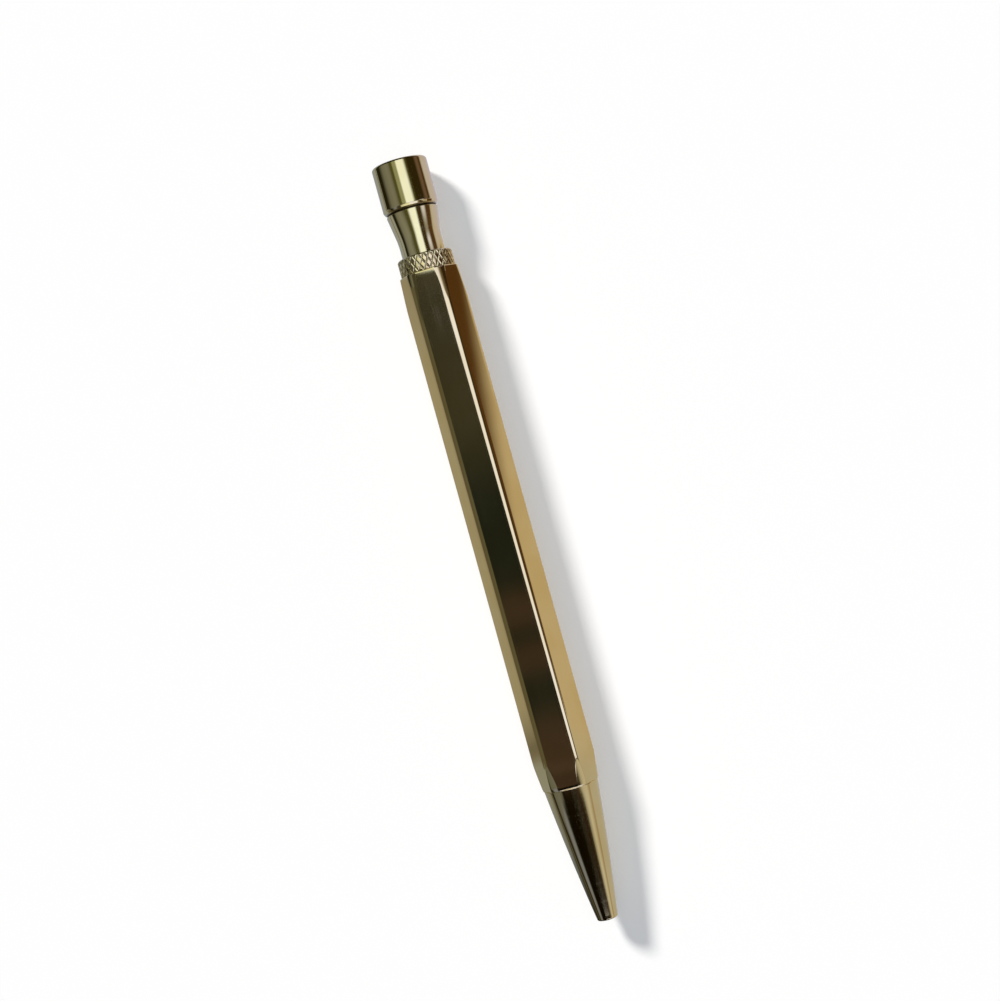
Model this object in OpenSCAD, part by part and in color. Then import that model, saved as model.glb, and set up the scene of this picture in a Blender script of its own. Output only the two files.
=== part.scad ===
// Retractable pen: a polished hexagonal barrel, a conical nose that unscrews, a knurled
// collar and a push button, with a rotating click cam and a standard refill inside.
// Sizes are in millimetres. Each piece is drawn along the pen's own axis, with the
// writing end at zero and the button above, and lie_down() then lays the pen on one
// flat of its barrel with the writing end towards +X.

/* [Barrel] */
// Width across two opposite flats
barrel_flats = 9.8; // [9.8:0.1:11]
// Radius of the rounded corner between two flats
corner_r = 1.1; // [0.6:0.1:1.6]
// Diameter that the corners are turned down to at the nose end
front_trim_d = 9.98; // [9.9:0.02:10.6]
// Length of the turned corners at the nose end
front_trim_len = 5.5; // [2:0.5:10]
// Diameter that the corners are turned down to at the collar end
rear_trim_d = 10.14; // [9.9:0.02:10.6]
// Length of the turned corners at the collar end
rear_trim_len = 6; // [2:0.1:10]

/* [Nose cone] */
// Length of the cone, from the writing end to the barrel
nose_len = 24; // [22:0.5:28]
// Diameter where the cone meets the barrel
nose_rear_d = 9.6; // [9.4:0.1:9.8]
// Diameter at the writing end
nose_tip_d = 3.6; // [3.4:0.1:4.4]
// How far the side of the cone swells past a straight line
nose_bulge = 0.05; // [0:0.05:0.4]
// Rounding of the rim at the writing end
nose_edge = 0.3; // [0.1:0.05:0.45]
// Outside diameter of the screw thread behind the cone
thread_d = 8; // [7.6:0.1:8.2]
// Length of the screw thread
thread_len = 6; // [4:0.5:10]
// Pitch of the screw thread, also the run-out left past its end
thread_pitch = 0.75; // [0.5:0.05:1]
// Thickness of the rubber ring at the root of the thread
seal_section = 0.5; // [0.4:0.02:0.6]

/* [Knurled collar] */
// Length of the knurled band
collar_len = 3; // [2:0.1:5]
// Diameter over the points of the knurl
collar_d = 9.7; // [9.5:0.1:9.8]
// Depth of the knurl
knurl_depth = 0.2; // [0.1:0.02:0.34]
// Number of points around the collar in one row
knurl_count = 28; // [16:1:40]
// Number of rows along the collar
knurl_rows = 3; // [3:1:8]
// Length of the sleeve behind the band that fits inside the barrel
collar_sleeve_len = 8.4; // [8:0.1:12]
// Thinnest wall of that sleeve
collar_sleeve_wall = 0.25; // [0.2:0.05:0.3]
// Chamfer at the mouth of the collar
collar_mouth = 0.3; // [0.1:0.05:0.4]

/* [Push button] */
// Diameter of the button's head
head_d = 9.8; // [9.7:0.05:9.8]
// Length of the head
head_len = 8.7; // [5:0.1:12]
// Height of the domed end
head_dome = 0.4; // [0.2:0.1:1.5]
// Rounding between the side of the head and its dome
head_edge = 0.6; // [0.3:0.1:1.2]
// Chamfer at the lower rim of the head
head_chamfer = 0.15; // [0.1:0.01:0.18]
// Diameter of the neck where it enters the collar
neck_d = 7.6; // [7:0.1:7.7]
// Diameter of the neck under the head
neck_top_d = 9.3; // [8.6:0.1:9.3]
// Length of the neck that shows, from the collar to the head
neck_len = 8.4; // [7.5:0.1:12]
// Length of the straight part of the neck that shows
neck_straight = 3; // [2:0.1:3.5]
// How far the button goes in when it is pressed
press_travel = 4.5; // [3.5:0.1:4.8]

/* [Click mechanism] */
// Diameter of the plunger's stem
stem_d = 5.4; // [4.8:0.1:5.6]
// How much wider than the refill the plunger and rotor are over their ribs
rib_over = 0.3; // [0.2:0.05:0.5]
// How far the ribs stand out of the cores of the plunger and the rotor
rib_h = 0.45; // [0.35:0.05:0.6]
// Wall of the cam sleeve
sleeve_wall = 0.4; // [0.3:0.05:0.5]
// Height of the crown teeth
tooth_h = 0.8; // [0.4:0.05:1]
// Width of a rotor rib, in degrees
rotor_rib_deg = 14; // [10:1:18]
// Turn of the rotor while the button goes down, in degrees
index_deg = 18; // [12:1:20]
// Length of the rotor under its ribs
rotor_foot = 1.2; // [0.8:0.1:3]
// Length of the rotor's ribs
rotor_rib_len = 2.4; // [1.8:0.1:4]
// Length of the plunger's ribs
plunger_rib_len = 3.7; // [2.5:0.1:6]

/* [Refill] */
// Length of the refill
refill_len = 98; // [90:0.5:108]
// Outside diameter of the refill's tube
refill_d = 5.9; // [5.6:0.1:6]
// Wall of the tube
refill_wall = 0.35; // [0.25:0.05:0.6]
// How far the ball lies inside the nose when the pen is closed
tip_inset = 1; // [0.5:0.1:2]
// Diameter of the writing ball
ball_d = 1; // [0.6:0.05:1.2]
// Diameter of the point
point_d = 2.35; // [2.1:0.05:2.4]
// Length of the point that stands out of the refill's neck
point_len = 12.5; // [11:0.5:14]
// Diameter of the refill's neck, inside the spring
refill_neck_d = 3.1; // [2.8:0.1:3.2]
// Length of the refill's neck
refill_neck_len = 8; // [6:0.5:9]
// Length of the ink in the tube
ink_len = 52; // [10:1:60]

/* [Spring] */
// Diameter of the spring wire
wire_d = 0.45; // [0.3:0.05:0.5]
// Outside diameter of the spring
spring_d = 4.7; // [4.6:0.1:4.8]
// Number of turns
spring_turns = 9; // [5:1:10]

/* [Clearances] */
// Gap around a piece that slides or turns
running_gap = 0.08; // [0.05:0.01:0.1]
// Gap around a piece that is pressed or screwed in
press_gap = 0.02; // [0.01:0.005:0.03]
// Gap between faces that rest on each other along the pen
seat_gap = 0.05; // [0.02:0.01:0.1]

/* [Hidden] */
$fn = 96;
gold = [0.83, 0.68, 0.33];
steel = [0.75, 0.76, 0.78];
brass = [0.80, 0.66, 0.36];
white_plastic = [0.90, 0.90, 0.87];
grey_plastic = [0.45, 0.47, 0.50];
black_rubber = [0.08, 0.08, 0.08];
ink_blue = [0.06, 0.07, 0.20];

// teeth of each crown, width of a notch as a share of the pitch, and guide ribs in the cam sleeve
teeth = 8;
notch_share = 0.94;
guides = 4;
// at rest the rotor is held a turn away from meshing, and the crowns stand this far apart
half_pitch = 180 / teeth;
mesh_lift = tooth_h * min(1, (sin(index_deg) + sin(half_pitch)) / (notch_share * sin(half_pitch)) - 1);

// places along the pen
refill_end_z = tip_inset + refill_len;
rotor_z = refill_end_z + seat_gap;
rotor_valley_z = rotor_z + rotor_foot + rotor_rib_len;
plunger_z = rotor_valley_z + mesh_lift + seat_gap;
plunger_rib_z = plunger_z + tooth_h;
collar_foot_z = plunger_rib_z + plunger_rib_len + seat_gap;
barrel_end_z = collar_foot_z + collar_sleeve_len;
collar_end_z = barrel_end_z + collar_len;
head_z = collar_end_z + neck_len;
pen_len = head_z + head_len;
barrel_len = barrel_end_z - nose_len;
neck_foot_z = collar_end_z - 0.6;
stem_end_z = head_z - 1;
shoulder_z = tip_inset + point_len + refill_neck_len;
tube_z = shoulder_z + 1.5;
tube_end_z = refill_end_z - 4;
seat_z = tip_inset + point_len - press_travel - 0.5;
nose_bore_z = shoulder_z - press_travel - 0.4;

// radii of the barrel's corners
corner_centre = (barrel_flats / 2 - corner_r) / cos(30);
crest_r = corner_centre + corner_r;

// the neck is straight and then flares, with a soft bend between the two
neck_slope = (neck_top_d - neck_d) / 2 / (neck_len - neck_straight);
neck_bend = 1;
function neck_radius(h) =
    let (x = h - neck_straight)
    neck_d / 2 + neck_slope * (
        x <= -neck_bend ? 0
        : x >= neck_bend ? x
        : (x + neck_bend) * (x + neck_bend) / (4 * neck_bend)
    );

// the collar lets the pressed neck in, and its sleeve fits the barrel's rear bore
collar_bore_r = neck_radius(press_travel - collar_mouth) + running_gap;
collar_sleeve_r = collar_bore_r + collar_sleeve_wall;
rear_bore_r = collar_sleeve_r + press_gap;
collar_ledge_z = neck_foot_z - press_travel - 0.3;

// the plunger and the rotor are sized from the refill, the cam sleeve from them and the bore from it
rib_d = refill_d + rib_over;
core_d = rib_d - 2 * rib_h;
bore_d = rib_d + 2 * (running_gap + sleeve_wall + press_gap);
slot_r = rib_d / 2 + running_gap;
guide_r = core_d / 2 + running_gap;
sleeve_r = bore_d / 2 - press_gap;
sleeve_flange = 1;
sleeve_step_z = collar_foot_z - seat_gap - sleeve_flange;

// the rotor's ribs leave the slots late in the stroke, and its last turn takes them under the guides
rib_top_z = rotor_valley_z;
rib_slant = 35;
rib_peak = rib_d / 2 * sin(rotor_rib_deg / 2) * tan(rib_slant);
rib_play_deg = 0.7;
guide_drop = 1;
guide_rise = 0.8;
guide_tip_z = rib_top_z - press_travel + guide_drop;
leave_share = (press_travel - guide_drop + rib_peak) / press_travel;
slot_deg = rotor_rib_deg + index_deg * leave_share + 2 * rib_play_deg;
rotor_start = rotor_rib_deg / 2 + rib_play_deg - slot_deg / 2;
sleeve_z = rotor_z + rotor_foot - press_travel - 0.6;

// the refill and its spring
tube_bore_r = refill_d / 2 - refill_wall;
coil_r = (spring_d - wire_d) / 2;
spring_z = seat_z + seat_gap + wire_d / 2;
spring_rise = shoulder_z - seat_z - 2 * seat_gap - wire_d;
spring_gap = spring_rise / spring_turns * cos(atan(spring_rise / spring_turns / (2 * PI * coil_r))) - wire_d;
echo(spring_gap = spring_gap);

seal_r = thread_d / 2 + press_gap + seal_section / 2;
seal_recess = seal_section + 2 * seat_gap;

// Lays a piece drawn along the pen's axis on the table, writing end towards +X.
module lie_down() {
    translate([pen_len / 2, 0, barrel_flats / 2])
        rotate([0, -90, 0])
            children();
}

// A round piece from half of its section, given as points of radius and height.
module turned(points) {
    rotate_extrude()
        polygon(points);
}

// A round bar or hole between two heights.
module round_bar(r, z0, z1) {
    translate([0, 0, z0])
        cylinder(r = r, h = z1 - z0);
}

// Part of a ring: between two radii, two heights and two angles.
module ring_part(r0, r1, z0, z1, middle, width) {
    a = width / 2;
    reach = 2 * r1;
    rotate(middle)
        translate([0, 0, z0])
            intersection() {
                difference() {
                    cylinder(r = r1, h = z1 - z0);
                    translate([0, 0, -1])
                        cylinder(r = r0, h = z1 - z0 + 2);
                }
                linear_extrude(z1 - z0)
                    polygon([
                        [0, 0],
                        [reach * cos(a), -reach * sin(a)],
                        [reach * cos(a), reach * sin(a)]
                    ]);
            }
}

// The space above or below a sloping plane, outside the core, for slanted rib ends.
module slope_cut(middle, z, tilt, side) {
    rotate(middle)
        translate([0, 0, z])
            rotate([tilt, 0, 0])
                translate([1, -6, side > 0 ? 0 : -6])
                    cube([5, 12, 6]);
}

// The ring of V notches between crown teeth. up is 1 for teeth that point up.
module crown_notches(z, up, turn) {
    w = notch_share * core_d * sin(half_pitch);
    over = 0.4;
    for (i = [0 : teeth - 1])
        rotate(turn + i * 360 / teeth)
            translate([0.9, 0, z])
                rotate([90, 0, 90])
                    linear_extrude(core_d)
                        polygon([
                            [-w / 2 * (1 + over), up * tooth_h * over],
                            [0, -up * tooth_h],
                            [w / 2 * (1 + over), up * tooth_h * over]
                        ]);
}

// The barrel's section: a hexagon with a flat below and round corners.
module rounded_hexagon() {
    polygon([
        for (i = [0 : 5])
            for (side = [0, 60])
                let (a = 60 * i + 30, b = 60 * i + side)
                [corner_centre * cos(a) + corner_r * cos(b), corner_centre * sin(a) + corner_r * sin(b)]
    ]);
    for (i = [0 : 5])
        rotate(60 * i + 30)
            translate([corner_centre, 0])
                circle(corner_r);
}

// Barrel: hexagonal bar, corners turned down at both ends, bored through.
module barrel() {
    out = crest_r + 0.3;
    front_run = front_trim_len * (out - front_trim_d / 2) / (crest_r - front_trim_d / 2);
    rear_run = rear_trim_len * (out - rear_trim_d / 2) / (crest_r - rear_trim_d / 2);
    color(gold)
        lie_down()
            difference() {
                intersection() {
                    translate([0, 0, nose_len])
                        linear_extrude(barrel_len)
                            rounded_hexagon();
                    turned([
                        [0, nose_len],
                        [front_trim_d / 2, nose_len],
                        [out, nose_len + front_run],
                        [out, barrel_end_z - rear_run],
                        [rear_trim_d / 2, barrel_end_z],
                        [0, barrel_end_z]
                    ]);
                }
                round_bar(bore_d / 2, nose_len - 1, barrel_end_z + 1);
                round_bar(thread_d / 2 + press_gap, nose_len - 1, nose_len + thread_len + thread_pitch);
                round_bar(seal_r + seal_section / 2 + press_gap, nose_len - 1, nose_len + seal_recess);
                round_bar(rear_bore_r, sleeve_step_z - seat_gap, barrel_end_z + 1);
            }
}

// Outside radius of the nose at height z.
function nose_radius(z) =
    let (t = z / nose_len)
    nose_tip_d / 2 + (nose_rear_d - nose_tip_d) / 2 * t + 4 * nose_bulge * t * (1 - t);

// Nose cone: slightly swelling cone with a screw thread behind it and the spring's seat inside.
module nose_cone() {
    hole_r = point_d / 2 + 0.12;
    chamber_r = spring_d / 2 + 0.12;
    rear_r = refill_d / 2 + 0.15;
    lead = thread_pitch * 0.6;
    end_z = nose_len + thread_len;
    steps = 10;
    color(gold)
        lie_down()
            turned(concat(
                [[hole_r + 0.1, 0], [nose_radius(nose_edge) - nose_edge, 0]],
                [for (a = [30, 60])
                    [nose_radius(nose_edge) - nose_edge * (1 - sin(a)), nose_edge * (1 - cos(a))]],
                [for (i = [0 : steps])
                    let (z = nose_edge + (nose_len - nose_edge) * i / steps)
                    [nose_radius(z), z]],
                [
                    [thread_d / 2, nose_len],
                    [thread_d / 2, end_z - lead],
                    [thread_d / 2 - lead, end_z],
                    [rear_r, end_z],
                    [rear_r, nose_bore_z],
                    [chamber_r, nose_bore_z - 0.6],
                    [chamber_r, seat_z],
                    [hole_r, seat_z],
                    [hole_r, 0.1]
                ]
            ));
}

// Rubber ring between the nose and the barrel's front recess.
module nose_seal() {
    color(black_rubber)
        lie_down()
            translate([0, 0, nose_len + seat_gap + seal_section / 2])
                rotate_extrude()
                    translate([seal_r, 0])
                        circle(d = seal_section);
}

// The knurl: a drum whose points and hollows alternate along and around it. The hollows
// join up slantwise, so that each point stands in a diamond of its own.
module knurl(z0) {
    columns = 2 * round(knurl_count);
    top_r = collar_d / 2;
    low_r = top_r - knurl_depth;
    rim_r = low_r - 0.06;
    rows = [for (j = [0 : knurl_rows])
        for (k = [0 : columns - 1])
            let (
                rim = j == 0 || j == knurl_rows,
                point = (k + j) % 2 == 0,
                r = rim ? rim_r : point ? top_r : low_r,
                a = 360 * k / columns
            )
            [r * cos(a), r * sin(a), z0 + collar_len * j / knurl_rows]];
    ends = [[0, 0, z0], [0, 0, z0 + collar_len]];
    base = len(rows);
    last = knurl_rows * columns;
    polyhedron(
        points = concat(rows, ends),
        faces = concat(
            [for (j = [0 : knurl_rows - 1])
                for (k = [0 : columns - 1])
                    let (
                        a = j * columns + k,
                        b = j * columns + (k + 1) % columns,
                        c = a + columns,
                        d = b + columns
                    )
                    each ((k + j) % 2 == 0 ? [[a, c, b], [b, c, d]] : [[a, d, b], [a, c, d]])],
            [for (k = [0 : columns - 1]) [base, k, (k + 1) % columns]],
            [for (k = [0 : columns - 1]) [base + 1, last + (k + 1) % columns, last + k]]
        )
    );
}

// Knurled collar: the band that shows, and the sleeve that holds it in the barrel.
module knurled_collar() {
    color(gold)
        lie_down()
            difference() {
                union() {
                    knurl(barrel_end_z);
                    round_bar(collar_sleeve_r, collar_foot_z, barrel_end_z + collar_len / 2);
                }
                round_bar(stem_d / 2 + running_gap, collar_foot_z - 1, collar_end_z);
                round_bar(collar_bore_r, collar_ledge_z, collar_end_z + 1);
                translate([0, 0, collar_end_z - collar_mouth])
                    cylinder(r1 = collar_bore_r, r2 = collar_bore_r + 2 * collar_mouth, h = 2 * collar_mouth);
            }
}

// Push button: domed head on a neck that flares out under it, bored for the plunger.
module push_button() {
    r = head_d / 2;
    flat_r = r - head_edge;
    dome_r = (flat_r * flat_r + head_dome * head_dome) / (2 * head_dome);
    side_z = pen_len - head_dome - head_edge;
    bend_steps = 6;
    color(gold)
        lie_down()
            difference() {
                turned(concat(
                    [
                        [0, neck_foot_z],
                        [neck_d / 2 - 0.2, neck_foot_z],
                        [neck_d / 2, neck_foot_z + 0.2]
                    ],
                    [for (i = [0 : bend_steps])
                        let (h = neck_straight - neck_bend + 2 * neck_bend * i / bend_steps)
                        [neck_radius(h), collar_end_z + h]],
                    [
                        [neck_top_d / 2, head_z],
                        [r - head_chamfer, head_z],
                        [r, head_z + head_chamfer],
                        [r, side_z]
                    ],
                    [for (a = [18 : 18 : 90])
                        [flat_r + head_edge * cos(a), side_z + head_edge * sin(a)]],
                    [for (i = [7 : -1 : 0])
                        let (x = flat_r * i / 8)
                        [x, pen_len - dome_r + sqrt(dome_r * dome_r - x * x)]]
                ));
                round_bar(stem_d / 2 + press_gap, neck_foot_z - 1, stem_end_z + seat_gap);
            }
}

// Plunger: stem pressed into the button, ribs that run in the cam sleeve and a crown of teeth.
module plunger() {
    rib_deg = slot_deg - 3;
    color(white_plastic)
        lie_down()
            difference() {
                union() {
                    round_bar(core_d / 2, plunger_z, plunger_rib_z + plunger_rib_len);
                    round_bar(stem_d / 2, plunger_rib_z + plunger_rib_len - 0.5, stem_end_z);
                    for (i = [0 : guides - 1])
                        ring_part(core_d / 2 - 0.3, rib_d / 2, plunger_rib_z + 0.3,
                                  plunger_rib_z + plunger_rib_len, i * 360 / guides, rib_deg);
                }
                crown_notches(plunger_z, -1, half_pitch);
                round_bar(1.2, plunger_z - 1, plunger_rib_z + plunger_rib_len);
            }
}

// Rotor: the crown that the plunger turns, with four slanted ribs and the foot on the refill.
module rotor() {
    tip_z = rotor_valley_z + tooth_h;
    color(grey_plastic)
        lie_down()
            difference() {
                union() {
                    round_bar(core_d / 2, rotor_z, tip_z);
                    for (i = [0 : guides - 1])
                        let (middle = rotor_start + i * 360 / guides)
                        difference() {
                            ring_part(core_d / 2 - 0.3, rib_d / 2, rotor_z + rotor_foot,
                                      rib_top_z + rib_peak + 0.1, middle, rotor_rib_deg);
                            slope_cut(middle, rib_top_z, rib_slant, 1);
                        }
                }
                crown_notches(tip_z, 1, -index_deg);
                round_bar(1.2, rotor_z + rotor_foot, tip_z + 1);
            }
}

// Cam sleeve: flange held by the collar, four guide ribs, each with two slanted lower ends.
module cam_sleeve() {
    half_deg = (360 / guides - slot_deg) / 2;
    mid_r = (slot_r + guide_r) / 2;
    tilt = atan(guide_rise / (mid_r * half_deg * PI / 180));
    color(white_plastic)
        lie_down() {
            difference() {
                union() {
                    round_bar(sleeve_r, sleeve_z, sleeve_step_z + sleeve_flange);
                    round_bar(rear_bore_r - press_gap, sleeve_step_z, sleeve_step_z + sleeve_flange);
                }
                round_bar(slot_r, sleeve_z - 1, collar_foot_z + 1);
            }
            for (i = [0 : guides - 1])
                let (first = i * 360 / guides + slot_deg / 2)
                difference() {
                    ring_part(guide_r, slot_r + 0.1, guide_tip_z - 0.5, sleeve_step_z + sleeve_flange - 0.2,
                              first + half_deg, 2 * half_deg);
                    for (half = [0, 1])
                        let (
                            middle = first + half_deg * (half + 0.5),
                            from = middle - half_deg / 2 - 3,
                            to = middle + half_deg / 2 + 3 * half
                        )
                        intersection() {
                            slope_cut(middle, guide_tip_z + guide_rise / 2, tilt, -1);
                            ring_part(guide_r - 0.3, slot_r + 0.3, guide_tip_z - 1, guide_tip_z + 2,
                                      (from + to) / 2, to - from);
                        }
                }
        }
}

// Refill tube: thin steel tube.
module refill_tube() {
    color(steel)
        lie_down()
            difference() {
                round_bar(refill_d / 2, tube_z, tube_end_z);
                round_bar(tube_bore_r, tube_z - 1, tube_end_z + 1);
            }
}

// Refill neck: closes the front of the tube, carries the spring on its shoulder and holds the point.
module refill_neck() {
    r = refill_neck_d / 2;
    front_z = tip_inset + point_len;
    plug_r = tube_bore_r - press_gap;
    color(brass)
        lie_down()
            turned([
                [point_d / 2 + press_gap, front_z],
                [r - 0.15, front_z],
                [r, front_z + 0.3],
                [r, shoulder_z],
                [refill_d / 2 - 0.4, shoulder_z],
                [refill_d / 2, shoulder_z + 0.4],
                [refill_d / 2, tube_z - seat_gap],
                [plug_r, tube_z - seat_gap],
                [plug_r, tube_z + 2.7],
                [plug_r - 0.3, tube_z + 3],
                [0.5, tube_z + 3],
                [0.5, front_z + 3],
                [point_d / 2 + press_gap, front_z + 3]
            ]);
}

// Refill plug: notched plastic end that the rotor pushes on, with a vent through it.
module refill_plug() {
    plug_r = tube_bore_r - press_gap;
    color(grey_plastic)
        lie_down()
            difference() {
                turned([
                    [0.5, tube_end_z - 3],
                    [plug_r - 0.3, tube_end_z - 3],
                    [plug_r, tube_end_z - 2.7],
                    [plug_r, tube_end_z + seat_gap],
                    [refill_d / 2, tube_end_z + seat_gap],
                    [refill_d / 2, refill_end_z - 1.6],
                    [refill_d / 2 - 0.5, refill_end_z],
                    [0.5, refill_end_z]
                ]);
                for (i = [0 : 5])
                    rotate(60 * i)
                        translate([1.3, -0.45, refill_end_z - 1.2])
                            cube([4, 0.9, 3]);
            }
}

// Point: drawn tube whose cone closes round the ball, with the ink channel behind it.
module point_tip() {
    ball_z = tip_inset + ball_d / 2;
    rim_z = ball_z - ball_d * 0.2;
    rim_r = ball_d * 0.5;
    end_z = tip_inset + point_len + 2.9;
    color(brass)
        lie_down()
            difference() {
                turned([
                    [0, rim_z],
                    [rim_r, rim_z],
                    [point_d / 2, rim_z + (point_d / 2 - rim_r) * 3.4],
                    [point_d / 2, end_z],
                    [0, end_z]
                ]);
                translate([0, 0, ball_z])
                    sphere(r = ball_d / 2 + press_gap);
                round_bar(ball_d * 0.25, ball_z, end_z + 1);
            }
}

// Ball: rolls in the point and carries the ink.
module point_ball() {
    color(steel)
        lie_down()
            translate([0, 0, tip_inset + ball_d / 2])
                sphere(r = ball_d / 2);
}

// Ink: the column left in the tube behind the neck.
module ink() {
    z = tube_z + 3 + seat_gap;
    color(ink_blue)
        lie_down()
            round_bar(tube_bore_r - press_gap, z, z + ink_len);
}

// Spring: one unbroken wire wound round the refill's neck, from the nose's seat to the shoulder.
module refill_spring() {
    sides = 6;
    rings = 8 * spring_turns;
    lead = atan(spring_rise / spring_turns / (2 * PI * coil_r));
    points = [for (i = [0 : rings])
        for (s = [0 : sides - 1])
            let (
                a = 360 * spring_turns * i / rings,
                b = 360 * s / sides,
                out = wire_d / 2 * cos(b),
                up = wire_d / 2 * sin(b)
            )
            [
                (coil_r + out) * cos(a) + up * sin(lead) * sin(a),
                (coil_r + out) * sin(a) - up * sin(lead) * cos(a),
                spring_z + spring_rise * i / rings + up * cos(lead)
            ]];
    color(steel)
        lie_down()
            polyhedron(
                points = points,
                faces = concat(
                    [for (i = [0 : rings - 1])
                        for (s = [0 : sides - 1])
                            let (
                                a = i * sides + s,
                                b = i * sides + (s + 1) % sides,
                                c = a + sides,
                                d = b + sides
                            )
                            each [[a, b, c], [b, d, c]]],
                    [for (s = [1 : sides - 2]) [0, s + 1, s]],
                    [for (s = [1 : sides - 2])
                        [rings * sides, rings * sides + s, rings * sides + s + 1]]
                )
            );
}

barrel();
nose_cone();
nose_seal();
knurled_collar();
push_button();
plunger();
rotor();
cam_sleeve();
refill_tube();
refill_neck();
refill_plug();
point_tip();
point_ball();
ink();
refill_spring();
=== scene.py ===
import logging
import math
from collections.abc import Callable
from dataclasses import dataclass, field
from enum import Enum
from functools import reduce

import bpy
import numpy as np
from mathutils import Matrix, Vector


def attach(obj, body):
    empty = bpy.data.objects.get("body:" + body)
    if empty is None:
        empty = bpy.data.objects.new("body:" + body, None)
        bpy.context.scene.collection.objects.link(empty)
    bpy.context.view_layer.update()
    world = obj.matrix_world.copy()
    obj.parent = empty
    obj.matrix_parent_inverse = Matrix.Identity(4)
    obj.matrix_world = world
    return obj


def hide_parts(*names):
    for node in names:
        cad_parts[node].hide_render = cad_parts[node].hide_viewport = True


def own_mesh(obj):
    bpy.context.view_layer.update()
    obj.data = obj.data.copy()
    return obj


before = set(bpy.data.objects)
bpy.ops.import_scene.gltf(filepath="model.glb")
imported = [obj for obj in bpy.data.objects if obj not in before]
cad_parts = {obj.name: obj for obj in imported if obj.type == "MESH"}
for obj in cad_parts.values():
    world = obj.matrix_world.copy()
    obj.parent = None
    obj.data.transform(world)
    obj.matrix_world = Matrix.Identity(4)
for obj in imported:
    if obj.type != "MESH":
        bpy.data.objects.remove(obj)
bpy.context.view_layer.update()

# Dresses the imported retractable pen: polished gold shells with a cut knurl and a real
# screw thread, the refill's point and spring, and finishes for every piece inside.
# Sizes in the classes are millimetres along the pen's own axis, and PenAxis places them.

MM = 0.001
LOG = logging.getLogger("pen")

Colour = tuple[float, float, float]
Point = tuple[float, float, float]
Stretch = tuple[float, float]
Sides = tuple[Stretch, Stretch]
Step = tuple[float, float, float, float]
Bands = tuple[tuple[float, Colour, float], ...]
Socket = bpy.types.NodeSocket
Feed = Socket | float | tuple[float, ...]


# Surfaces


@dataclass(frozen=True)
class PenAxis:
    """The pen's own axis: z runs from the writing end, turn from straight up towards +Y.

    The other lengths are those of the parts that show one after another along it.
    """

    length: float = 136.48829814530677
    height: float = 4.9
    nose_len: float = 24.0
    collar_len: float = 3.0
    neck_len: float = 8.4
    head_len: float = 8.7

    @property
    def collar_top_z(self) -> float:
        """Where the collar ends and the button's neck comes out."""
        return self.length - self.head_len - self.neck_len

    @property
    def barrel_end_z(self) -> float:
        """Where the barrel ends and the collar's band starts."""
        return self.collar_top_z - self.collar_len

    def lay(self, z: np.ndarray, across: np.ndarray, up: np.ndarray) -> np.ndarray:
        """Puts lengths along and off the axis into the frame.

        X is half the pen's length less z, Y is across, and Z is the axis height plus up.

        Args:
            z: Distance from the writing end, in millimetres.
            across: Distance from the axis sideways, in millimetres.
            up: Distance from the axis upwards, in millimetres.

        Returns:
            Points in metres, with the three coordinates along the last axis.
        """
        parts = (self.length / 2 - np.asarray(z, float), across, self.height + up)
        return np.stack(np.broadcast_arrays(*parts), axis=-1) * MM

    def place(self, z: np.ndarray, r: np.ndarray, turn: np.ndarray) -> np.ndarray:
        """Puts heights, radii and turns into the frame, by the turn's sine and cosine."""
        return self.lay(z, r * np.sin(turn), r * np.cos(turn))

    def measure(self, points: np.ndarray) -> tuple[np.ndarray, np.ndarray]:
        """Heights and radii of frame points, in millimetres."""
        x, y, z = points.T / MM
        return self.length / 2 - x, np.hypot(y, z - self.height)


AXIS = PenAxis()


@dataclass
class Surface:
    """Points with faces of four and three corners, and how much each point is rubbed.

    A share below nothing is painted shade instead.
    """

    points: np.ndarray
    quads: np.ndarray
    triangles: np.ndarray = field(default_factory=lambda: np.zeros((0, 3), int))
    rim: np.ndarray | None = None

    def to_piece(self, name: str) -> bpy.types.Object:
        """Makes a smooth-shaded mesh object at the origin.

        Args:
            name: Name of the piece.

        Returns:
            The object, linked to the scene.
        """
        mesh = bpy.data.meshes.new(name)
        sizes = np.repeat([4, 3], [len(self.quads), len(self.triangles)])
        corners = np.concatenate([self.quads.ravel(), self.triangles.ravel()])
        mesh.vertices.add(len(self.points))
        mesh.vertices.foreach_set("co", self.points.astype(np.float32).ravel())
        mesh.loops.add(len(corners))
        mesh.loops.foreach_set("vertex_index", corners.astype(np.int32))
        mesh.polygons.add(len(sizes))
        mesh.polygons.foreach_set("loop_start", (np.cumsum(sizes) - sizes).astype(np.int32))
        mesh.polygons.foreach_set("use_smooth", np.ones(len(sizes), bool))
        # The rim attribute holds rubbed shares, and painted shade in grooves where it is below
        # nothing.
        if self.rim is not None:
            rubbed = mesh.attributes.new("rim", "FLOAT", "POINT")
            rubbed.data.foreach_set("value", self.rim.astype(np.float32).ravel())
        mesh.update(calc_edges=True)
        mesh.validate()
        piece = bpy.data.objects.new(name, mesh)
        bpy.context.scene.collection.objects.link(piece)
        return piece


def turns_of(columns: int) -> np.ndarray:
    """Even angles round a ring, as one row."""
    return 2 * np.pi * np.arange(columns)[None, :] / columns


def over_columns(values: np.ndarray, columns: int) -> np.ndarray:
    """Repeats one value for each row over the columns of a grid."""
    return np.repeat(values[:, None], columns, axis=1)


def profile_rows(z: np.ndarray, r: np.ndarray) -> np.ndarray:
    """Rows of z, r and a soft length of nothing, for a stretch that is a curve already."""
    return np.stack([z, r, np.zeros(len(z))], axis=1)


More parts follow.
